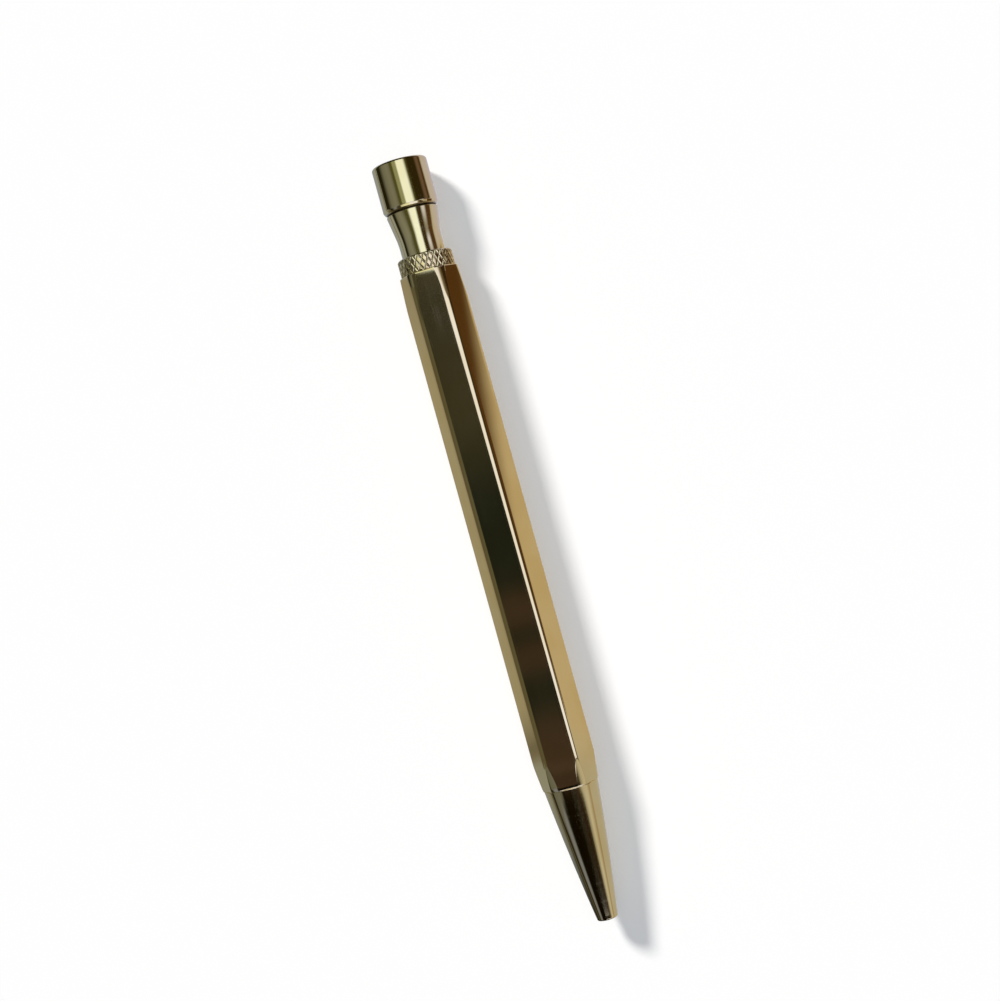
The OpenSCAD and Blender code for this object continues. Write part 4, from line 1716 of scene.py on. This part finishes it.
# The left ends of the neck's bands and of its flare's are alike.
NECK_LEFT: Bands = (
    (-92.0, BLUE_WALL_REFLECTION, 1.0),
    (-87.0, BLUE_WALL_REFLECTION, 1.0),
    (-83.0, BLACK_CLOTH_REFLECTION, 1.0),
    (-73.0, BLACK_CLOTH_REFLECTION, 1.0),
)
NECK_BANDS: Bands = (
    *NECK_LEFT,
    (-62.0, GREY_WALL_REFLECTION, 0.85),
    (-44.0, GREY_WALL_REFLECTION, 1.07),
    (-33.0, GREY_WALL_REFLECTION, 0.79),
    (-22.0, OLIVE_CLOTH_REFLECTION, 0.92),
    (-11.0, OLIVE_CLOTH_REFLECTION, 1.0),
    (-2.0, BUTTON_HIGHLIGHT, 0.98),
    (21.0, BUTTON_HIGHLIGHT, 0.98),
    (28.0, UMBER_CLOTH_REFLECTION, 1.15),
    (43.0, UMBER_CLOTH_REFLECTION, 1.03),
    (51.0, PANEL_HIGHLIGHT, 0.75),
    (59.0, PANEL_HIGHLIGHT, 0.75),
    (68.0, RUST_CLOTH_REFLECTION, 1.0),
    (87.0, RUST_CLOTH_REFLECTION, 1.08),
    (93.0, PALE_TABLE_REFLECTION, 0.92),
)
FLARE_BANDS: Bands = (
    *NECK_LEFT,
    (-60.0, GREY_WALL_REFLECTION, 0.9),
    (-40.0, GREY_WALL_REFLECTION, 1.12),
    (-31.0, GREY_WALL_REFLECTION, 0.99),
    (-20.0, OLIVE_CLOTH_REFLECTION, 0.92),
    (-10.0, OLIVE_CLOTH_REFLECTION, 1.05),
    (0.0, BUTTON_HIGHLIGHT, 1.0),
    (20.0, BUTTON_HIGHLIGHT, 1.04),
    (28.0, UMBER_CLOTH_REFLECTION, 1.15),
    (43.0, UMBER_CLOTH_REFLECTION, 1.2),
    (51.0, PALE_TABLE_REFLECTION, 0.49),
    (58.0, PALE_TABLE_REFLECTION, 0.49),
    (67.0, RUST_CLOTH_REFLECTION, 1.0),
    (84.0, RUST_CLOTH_REFLECTION, 1.25),
    (91.0, PALE_TABLE_REFLECTION, 0.92),
)
FLAG_BANDS: Bands = (
    (-56.0, GREY_CLOTH_REFLECTION, 1.33),
    (-31.0, GREY_CLOTH_REFLECTION, 1.43),
    (-27.0, PALE_WALL_REFLECTION, 0.67),
    (-10.0, PALE_WALL_REFLECTION, 0.98),
    (5.0, PALE_WALL_REFLECTION, 1.0),
    (8.0, PANEL_HIGHLIGHT, 1.01),
    (36.0, PANEL_HIGHLIGHT, 0.94),
    (42.0, TAN_TABLE_REFLECTION, 0.36),
    (50.0, RUST_CLOTH_REFLECTION, 0.48),
    (76.0, RUST_CLOTH_REFLECTION, 0.46),
)


def stage_sheet(name: str, x: np.ndarray, y: np.ndarray, z: np.ndarray) -> bpy.types.Object:
    """A stage surface on a grid of points.

    Args:
        name: Name of the object.
        x: Coordinates by row and column, in metres, as are y and z.
        y: The same across.
        z: The same upwards.

    Returns:
        The object.
    """
    points = np.stack(np.broadcast_arrays(x, y, z), axis=-1)
    rows, columns = points.shape[:2]
    at = np.arange(rows - 1)[:, None] * columns + np.arange(columns - 1)[None, :]
    quads = np.stack([at, at + 1, at + columns + 1, at + columns], axis=-1).reshape(-1, 4)
    sheet = Surface(points.reshape(-1, 3), quads).to_piece(name)
    return sheet


def flat_sheet(name: str, half: float, height: float) -> bpy.types.Object:
    """A flat square stage surface.

    Args:
        name: Name of the object.
        half: Half its side, in metres.
        height: Its height, in metres.

    Returns:
        The object.
    """
    side = np.linspace(-half, half, 3)
    x, y = np.meshgrid(side, side)
    return stage_sheet(name, x, y, np.full_like(x, height))


@dataclass
class MirrorCards:
    """Glowing cards round the pen that paint reflections, which only polished metal sees, in metres
    and degrees.

    A slanting line is a rise to a metre of x and a value at its middle. A switch is the
    stretch of x over which one pattern gives way to the next. Sides are the stretches over
    which something comes in and goes out. A step is the stretch that something changes
    over, and its values before and after.
    """

    tent_r: float = 0.6
    tent_half: float = 0.75
    tent_angle: float = 92.0
    tent_cap: tuple[float, ...] = (0.0, 0.3, 0.6, 0.9)
    tent_rows: int = 93
    straight_columns: int = 12
    panel_left: Stretch = (110.0, 8.0)
    panel_left_least: float = -4.0
    panel_left_tail: Step = (-0.2, -0.15, 14.0, 0.0)
    panel_left_soft: float = 1.4
    panel_right: Stretch = (170.0, 57.0)
    panel_right_limits: Stretch = (48.0, 70.0)
    panel_right_soft: float = 9.0
    panel_end: Stretch = (0.135, 0.165)
    blotch_scale: float = 14.0
    blotch_wave: Stretch = (0.012, -0.006)
    blotch_share: Step = (0.42, 0.75, 0.0, 0.16)
    blotch_colour: Colour = (0.05, 0.05, 0.045)
    cloth_sides: Sides = ((-35.0, -29.0), (42.0, 60.0))
    front_switch: Stretch = (0.165, 0.19)
    glint_sides: Sides = ((-3.0, 3.0), (24.0, 31.0))
    glint_end: Stretch = (0.215, 0.232)
    nose_switch: Stretch = (0.256, 0.264)
    far_sides: Sides = ((-14.0, -8.0), (55.0, 68.0))
    far_switch: Stretch = (0.4, 0.44)
    end_switch: Stretch = (0.745, 0.749)
    hood_r: float = 0.027
    hood_ends: Stretch = (-0.095, -0.0508)
    hood_angle: float = 100.4
    hood_cap: tuple[float, ...] = (0.7, 0.4, 0.15, 0.0)
    hood_rows: int = 101
    hood_end_switch: Stretch = (-0.083, -0.077)
    hood_end_colour: Colour = (0.006, 0.006, 0.002)
    neck_switch: Stretch = (-0.0635, -0.0605)
    flare_switch: Stretch = (-0.0575, -0.0525)
    flag_r: float = 0.014
    flag_ends: Stretch = (-0.0525, -0.0392)
    flag_fade: float = 0.0036
    flag_sides: Sides = ((-56.0, -48.0), (68.0, 76.0))
    flag_rows: int = 31
    flag_columns: int = 4
    collar_flag_ends: Stretch = (-0.0524, -0.0498)
    table_lift: float = 2e-5
    right_line: Stretch = (0.27, 0.0275)
    right_line_steps: tuple[Step, Step] = ((-0.0555, -0.0535, 0.06, 0.0), (0.036, 0.046, 0.0, 1.0))
    right_line_soft: float = 0.005
    right_beyond: Colour = (0.043, 0.022, 0.0075)
    left_line_steps: tuple[Step, Step] = (
        (-0.0515, -0.0495, 0.0225, 0.0152),
        (0.042, 0.048, 0.0, 0.05),
    )
    left_line_soft: float = 0.0008
    left_beyond: Colour = (0.055, 0.052, 0.040)
    under_pen: Stretch = (-0.004, 0.004)
    ahead_sides: Sides = ((-0.02, -0.012), (0.0006, 0.003))
    ahead_switch: Stretch = (0.07, 0.0715)

    @staticmethod
    def _shine(
        card: bpy.types.Object, colour: str, build: BenchWork, cover: BenchWork | None = None
    ) -> None:
        """Lets a card glow with a painted reflection in polished metal and show nowhere else.

        Args:
            card: The card.
            colour: Name of its material.
            build: Works out the card's colour on a bench.
            cover: Works out how much of the card is there, where it fades.
        """
        made, bench = new_material(colour)
        made.cycles.emission_sampling = "NONE"
        light = bench.add("ShaderNodeEmission", Color=build(bench), Strength=BAND_SCALE)
        surface = light.outputs[0]
        if cover is not None:
            clear = bench.add("ShaderNodeBsdfTransparent").outputs[0]
            surface = bench.shade(cover(bench), clear, surface)
        bench.add("ShaderNodeOutputMaterial", Surface=surface)
        card.data.materials.append(made)
        for ray in ("camera", "diffuse", "transmission", "volume_scatter", "shadow"):
            setattr(card, f"visible_{ray}", False)

    @staticmethod
    def _places(bench: NodeBench, height: float) -> tuple[Socket, Socket, Socket]:
        """Adds nodes for a point's place on a card.

        Args:
            bench: The card's bench.
            height: Height of the line along X that the angle is taken about.

        Returns:
            Coordinates x and y, and the angle from straight up, in degrees.
        """
        where = bench.add("ShaderNodeTexCoord").outputs["Object"]
        x, y, z = bench.add("ShaderNodeSeparateXYZ", Vector=where).outputs
        turn = bench.math("ARCTAN2", y, bench.math("SUBTRACT", z, height))
        return x, y, bench.times(turn, 180 / math.pi)

    @staticmethod
    def _arch(
        name: str, x: np.ndarray, size: np.ndarray, degrees: np.ndarray, height: float
    ) -> bpy.types.Object:
        """A card bent round a line along X: a point lies at a radius, an angle and an x.

        Args:
            name: Name of the card.
            x: Places along the line.
            size: Radius at each place.
            degrees: Angles from straight up.
            height: Height of the line.

        Returns:
            The card.
        """
        angle = np.radians(degrees)[:, None]
        return stage_sheet(name, x[None, :], size * np.sin(angle), height + size * np.cos(angle))

    def tent(self) -> None:
        """A half round tent over the pen, glowing with painted reflections: dark cloth, a grey wall
        and a bright slanting panel of painted highlight.

        At the end past the nose its radius shrinks to nothing, which closes that end.
        """
        cap = len(self.tent_cap)
        straight = np.linspace(self.tent_half, -self.tent_half, self.straight_columns)
        x = np.r_[np.full(cap, self.tent_half), straight]
        size = self.tent_r * np.r_[self.tent_cap, np.ones(len(straight))]
        degrees = np.linspace(-self.tent_angle, self.tent_angle, self.tent_rows)
        card = self._arch("reflection_tent", x, size, degrees, 0.0)
        self._shine(card, "tent_cloth", self._tent_colour)

    def _tent_colour(self, bench: NodeBench) -> Socket:
        """Painted reflection colour of the tent over its angle and x.

        Past the barrel it shows the barrel's front and then the nose their own bands, and
        far along it is bright.

        Args:
            bench: The tent's bench.

        Returns:
            The colour.
        """
        x, _, around = self._places(bench, 0.0)
        over_barrel = bench.mix(self._panel(bench, x, around), self._cloth(bench, x, around), PANEL_HIGHLIGHT)
        glint = bench.window(around, *self.glint_sides)
        glint = bench.times(glint, bench.ramp(x, *self.glint_end, 1.0, 0.0))
        over_front = bench.mix(glint, bench.bands(around, FRONT_BANDS), PANEL_HIGHLIGHT)
        far = bench.window(around, *self.far_sides)
        far = bench.times(far, bench.ramp(x, *self.far_switch))
        over_nose = bench.mix(far, bench.bands(around, NOSE_BANDS), PANEL_HIGHLIGHT)
        colour = bench.mix(bench.ramp(x, *self.front_switch), over_barrel, over_front)
        colour = bench.mix(bench.ramp(x, *self.nose_switch), colour, over_nose)
        return bench.mix(bench.ramp(x, *self.end_switch), colour, BLACK_CLOTH_REFLECTION)

    def _cloth(self, bench: NodeBench, x: Socket, around: Socket) -> Socket:
        """Painted reflection of cloth that the tent gives the barrel: bands along x between walls.

        Args:
            bench: The tent's bench.
            x: Place along the pen.
            around: Angle from straight up.

        Returns:
            The colour.
        """
        where = bench.add("ShaderNodeTexCoord").outputs["Object"]
        blotch = bench.noise(where, self.blotch_scale)
        wave = bench.math("MULTIPLY_ADD", blotch, *self.blotch_wave)
        cloth = bench.bands(bench.math("ADD", x, wave), CLOTH_ALONG, CLOTH_ENDS)
        cloth = bench.mix(bench.ramp(blotch, *self.blotch_share), cloth, self.blotch_colour)
        middle = bench.window(around, *self.cloth_sides)
        return bench.mix(middle, bench.bands(around, BARREL_BANDS), cloth)

    def _panel(self, bench: NodeBench, x: Socket, around: Socket) -> Socket:
        """Mask of the bright panel of painted highlight: both its edges run to the right as x
        grows.

        Args:
            bench: The tent's bench.
            x: Place along the pen.
            around: Angle from straight up.

        Returns:
            The mask.
        """
        slant = bench.math("MULTIPLY_ADD", x, *self.panel_left)
        left = bench.math("MAXIMUM", slant, self.panel_left_least)
        left = bench.math("SUBTRACT", left, bench.ramp(x, *self.panel_left_tail))
        least, most = self.panel_right_limits
        slant = bench.math("MULTIPLY_ADD", x, *self.panel_right)
        right = bench.math("MINIMUM", bench.math("MAXIMUM", slant, least), most)
        soft, softer = self.panel_left_soft, self.panel_right_soft
        return bench.times(
            bench.ramp(bench.math("SUBTRACT", around, left), -soft, soft),
            bench.ramp(bench.math("SUBTRACT", around, right), -softer, softer, 1.0, 0.0),
            bench.ramp(x, *self.panel_end, 1.0, 0.0),
        )

    def hood(self) -> None:
        """A small hood round the button that gives the button its own painted reflection bands.

        At the end past the head its radius shrinks to nothing, which closes that end.
        """
        low, high = self.hood_ends
        straight = np.linspace(high, low, self.straight_columns)
        x = np.r_[straight, np.full(len(self.hood_cap), low)]
        size = self.hood_r * np.r_[np.ones(len(straight)), self.hood_cap]
        degrees = np.linspace(-self.hood_angle, self.hood_angle, self.hood_rows)
        card = self._arch("button_hood", x, size, degrees, AXIS.height * MM)
        self._shine(card, "hood_cloth", self._hood_colour)

    def _hood_colour(self, bench: NodeBench) -> Socket:
        """Painted reflection colour of the hood: bands for the head, the neck and its flare, and
        black at its end.

        Args:
            bench: The hood's bench.

        Returns:
            The colour.
        """
        x, _, around = self._places(bench, AXIS.height * MM)
        colour = self.hood_end_colour
        for switch, stops in (
            (self.hood_end_switch, HEAD_BANDS),
            (self.neck_switch, NECK_BANDS),
            (self.flare_switch, FLARE_BANDS),
        ):
            colour = bench.mix(bench.ramp(x, *switch), colour, bench.bands(around, stops))
        return colour

    def flags(self) -> None:
        """Narrow cards that paint reflections, close to the rear end of the barrel on either side,
        and over the collar.
        """
        for name, low, high, ends in (
            ("left_flag", -56.0, -30.0, self.flag_ends),
            ("right_flag", 8.0, 76.0, self.flag_ends),
            ("collar_flag", -30.0, 8.0, self.collar_flag_ends),
        ):
            x = np.linspace(*ends[::-1], self.flag_columns)
            size, degrees = np.full(len(x), self.flag_r), np.linspace(low, high, self.flag_rows)
            card = self._arch(name, x, size, degrees, AXIS.height * MM)
            self._shine(card, f"{name}_cloth", self._flag_colour, self._flag_cover)

    def _flag_colour(self, bench: NodeBench) -> Socket:
        """Painted reflection colour of the flags: dark on the left, and bright and then dark on the
        right.
        """
        _, _, around = self._places(bench, AXIS.height * MM)
        return bench.bands(around, FLAG_BANDS)

    def _flag_cover(self, bench: NodeBench) -> Socket:
        """How much of the flags is there: they fade out at their front and at both sides.

        Args:
            bench: The flag's bench.

        Returns:
            The share.
        """
        x, _, around = self._places(bench, AXIS.height * MM)
        front = self.flag_ends[1]
        along = bench.ramp(x, front - self.flag_fade, front, 1.0, 0.0)
        return bench.times(along, bench.window(around, *self.flag_sides))

    def table_reflection_card(self) -> None:
        """A tan card on the table that paints its reflection, so that the pen's sides mirror a
        table and not bare white.
        """
        card = flat_sheet("table_reflection_card", self.tent_r, self.table_lift)
        self._shine(card, "table_painted_reflection", self._table_colour)

    def _table_colour(self, bench: NodeBench) -> Socket:
        """Painted reflection colour of the table card: tan near the pen, and dark past a line on
        either side.

        The right line runs away from the pen as x grows. Both lines stand further off beside
        the button and the nose. Ahead of the nose the table is black, but for its right.

        Args:
            bench: The card's bench.

        Returns:
            The colour.
        """
        x, y, _ = self._places(bench, 0.0)
        line = bench.math("MULTIPLY_ADD", x, *self.right_line)
        for step in self.right_line_steps:
            line = bench.math("ADD", line, bench.ramp(x, *step))
        soft, sharp = self.right_line_soft, self.left_line_soft
        beyond = bench.ramp(bench.math("SUBTRACT", y, line), -soft, soft)
        right = bench.mix(beyond, bench.bands(x, TABLE_RIGHT, TABLE_ENDS), self.right_beyond)
        line = bench.math("ADD", *(bench.ramp(x, *step) for step in self.left_line_steps))
        beyond = bench.ramp(bench.math("ADD", y, line), -sharp, sharp, 1.0, 0.0)
        left = bench.mix(beyond, bench.bands(x, TABLE_LEFT, TABLE_ENDS), self.left_beyond)
        both = bench.mix(bench.ramp(y, *self.under_pen), left, right)
        ahead = bench.window(y, *self.ahead_sides)
        ahead = bench.times(ahead, bench.ramp(x, *self.ahead_switch))
        return bench.mix(ahead, both, BLACK_CLOTH_REFLECTION)

    def build(self) -> None:
        """Sets up every card."""
        self.tent()
        self.hood()
        self.flags()
        self.table_reflection_card()


@dataclass
class Studio:
    """Pale floor, the mirror cards with their painted reflections, two soft lamps and a white
    surround.
    """

    floor_half: float = 1.6
    floor_drop: float = 2e-5
    floor_colour: Colour = (0.975, 0.975, 0.975)
    key_level: Colour = (0.503, 0.487, 0.466)
    key_from: Point = (-1.3, -0.75, 1.0)
    key_angle: float = 11.0
    fill_level: Colour = (0.432, 0.448, 0.469)
    fill_from: Point = (0.0, 0.0, 1.0)
    fill_angle: float = 60.0
    surround_colour: Colour = (1.0, 1.0, 1.0)
    surround_level: float = 0.06

    def floor(self) -> None:
        """A flat pale sheet under the pen."""
        sheet = flat_sheet("floor", self.floor_half, -self.floor_drop)
        made, bench = new_material("floor_paper")
        paper = bench.add("ShaderNodeBsdfDiffuse", Color=self.floor_colour)
        bench.add("ShaderNodeOutputMaterial", Surface=paper.outputs[0])
        sheet.data.materials.append(made)

    def _sun(self, name: str, level: Colour, source: Point, angle: float, shadow: bool) -> None:
        """A far lamp that metal does not mirror.

        Args:
            name: Name of the lamp.
            level: Light that it gives the floor.
            source: Direction that it shines from.
            angle: Its width in the sky, in degrees.
            shadow: Whether it casts shadows.
        """
        lamp = bpy.data.lights.new(name, "SUN")
        towards = Vector(source).normalized()
        lamp.color = level
        lamp.energy = math.pi / (self.floor_colour[0] * towards.z)
        lamp.angle = math.radians(angle)
        lamp.use_shadow = shadow
        holder = bpy.data.objects.new(name, lamp)
        bpy.context.scene.collection.objects.link(holder)
        holder.rotation_mode = "QUATERNION"
        holder.rotation_quaternion = (-towards).to_track_quat("-Z", "Y")
        holder.visible_glossy = False

    def lights(self) -> None:
        """A soft key from the upper left, an even fill from above and a white surround."""
        self._sun("key", self.key_level, self.key_from, self.key_angle, True)
        self._sun("fill", self.fill_level, self.fill_from, self.fill_angle, False)
        world = bpy.data.worlds.new("surround")
        bpy.context.scene.world = world
        world.use_nodes = True
        bench = NodeBench(world.node_tree)
        path = bench.add("ShaderNodeLightPath").outputs
        seen = bench.math("MAXIMUM", path["Is Camera Ray"], path["Is Glossy Ray"])
        seen = bench.math("MAXIMUM", seen, path["Is Transmission Ray"])
        dim, white = (
            bench.add("ShaderNodeBackground", Color=self.surround_colour, Strength=level).outputs[0]
            for level in (self.surround_level, 1.0)
        )
        bench.add("ShaderNodeOutputWorld", Surface=bench.shade(seen, dim, white))

    def build(self) -> None:
        """Sets the stage."""
        self.floor()
        MirrorCards().build()
        self.lights()
        bpy.context.scene.view_settings.view_transform = "Standard"


@dataclass
class PhotoCamera:
    """The camera at the photograph's angle, for a picture 1000 by 1001 pixels."""

    stands: Point = (-0.00361, 0.03774, 0.313)
    aims: Point = (-0.00656, 0.00134, 0.0049)
    up: Point = (-0.96309, 0.26916, 0.0)
    lens: float = 64.2
    sensor: float = 36.0
    clip: Stretch = (0.01, 20.0)

    def build(self) -> None:
        """Makes the camera and sets it as the scene's."""
        data = bpy.data.cameras.new("photo_camera")
        data.lens, data.sensor_width = self.lens, self.sensor
        data.clip_start, data.clip_end = self.clip
        camera = bpy.data.objects.new("photo_camera", data)
        bpy.context.scene.collection.objects.link(camera)
        back = (Vector(self.stands) - Vector(self.aims)).normalized()
        right = Vector(self.up).cross(back).normalized()
        top = back.cross(right)
        turned = Matrix((right, top, back)).transposed().to_4x4()
        camera.matrix_world = Matrix.Translation(self.stands) @ turned
        bpy.context.scene.camera = camera


def main() -> None:
    """Builds the camera, the stage and every sub-assembly in order."""
    logging.basicConfig(level=logging.INFO, format="%(name)s: %(message)s")
    PhotoCamera().build()
    Studio().build()
    outside = Barrel(), NoseCone(), KnurledCollar(), PushButton()
    inside = Refill(), ReturnSpring(), ClickMechanism()
    for assembly in outside + inside:
        LOG.info("dressing %s", type(assembly).__name__)
        assembly.dress()


if __name__ == "__main__":
    main()
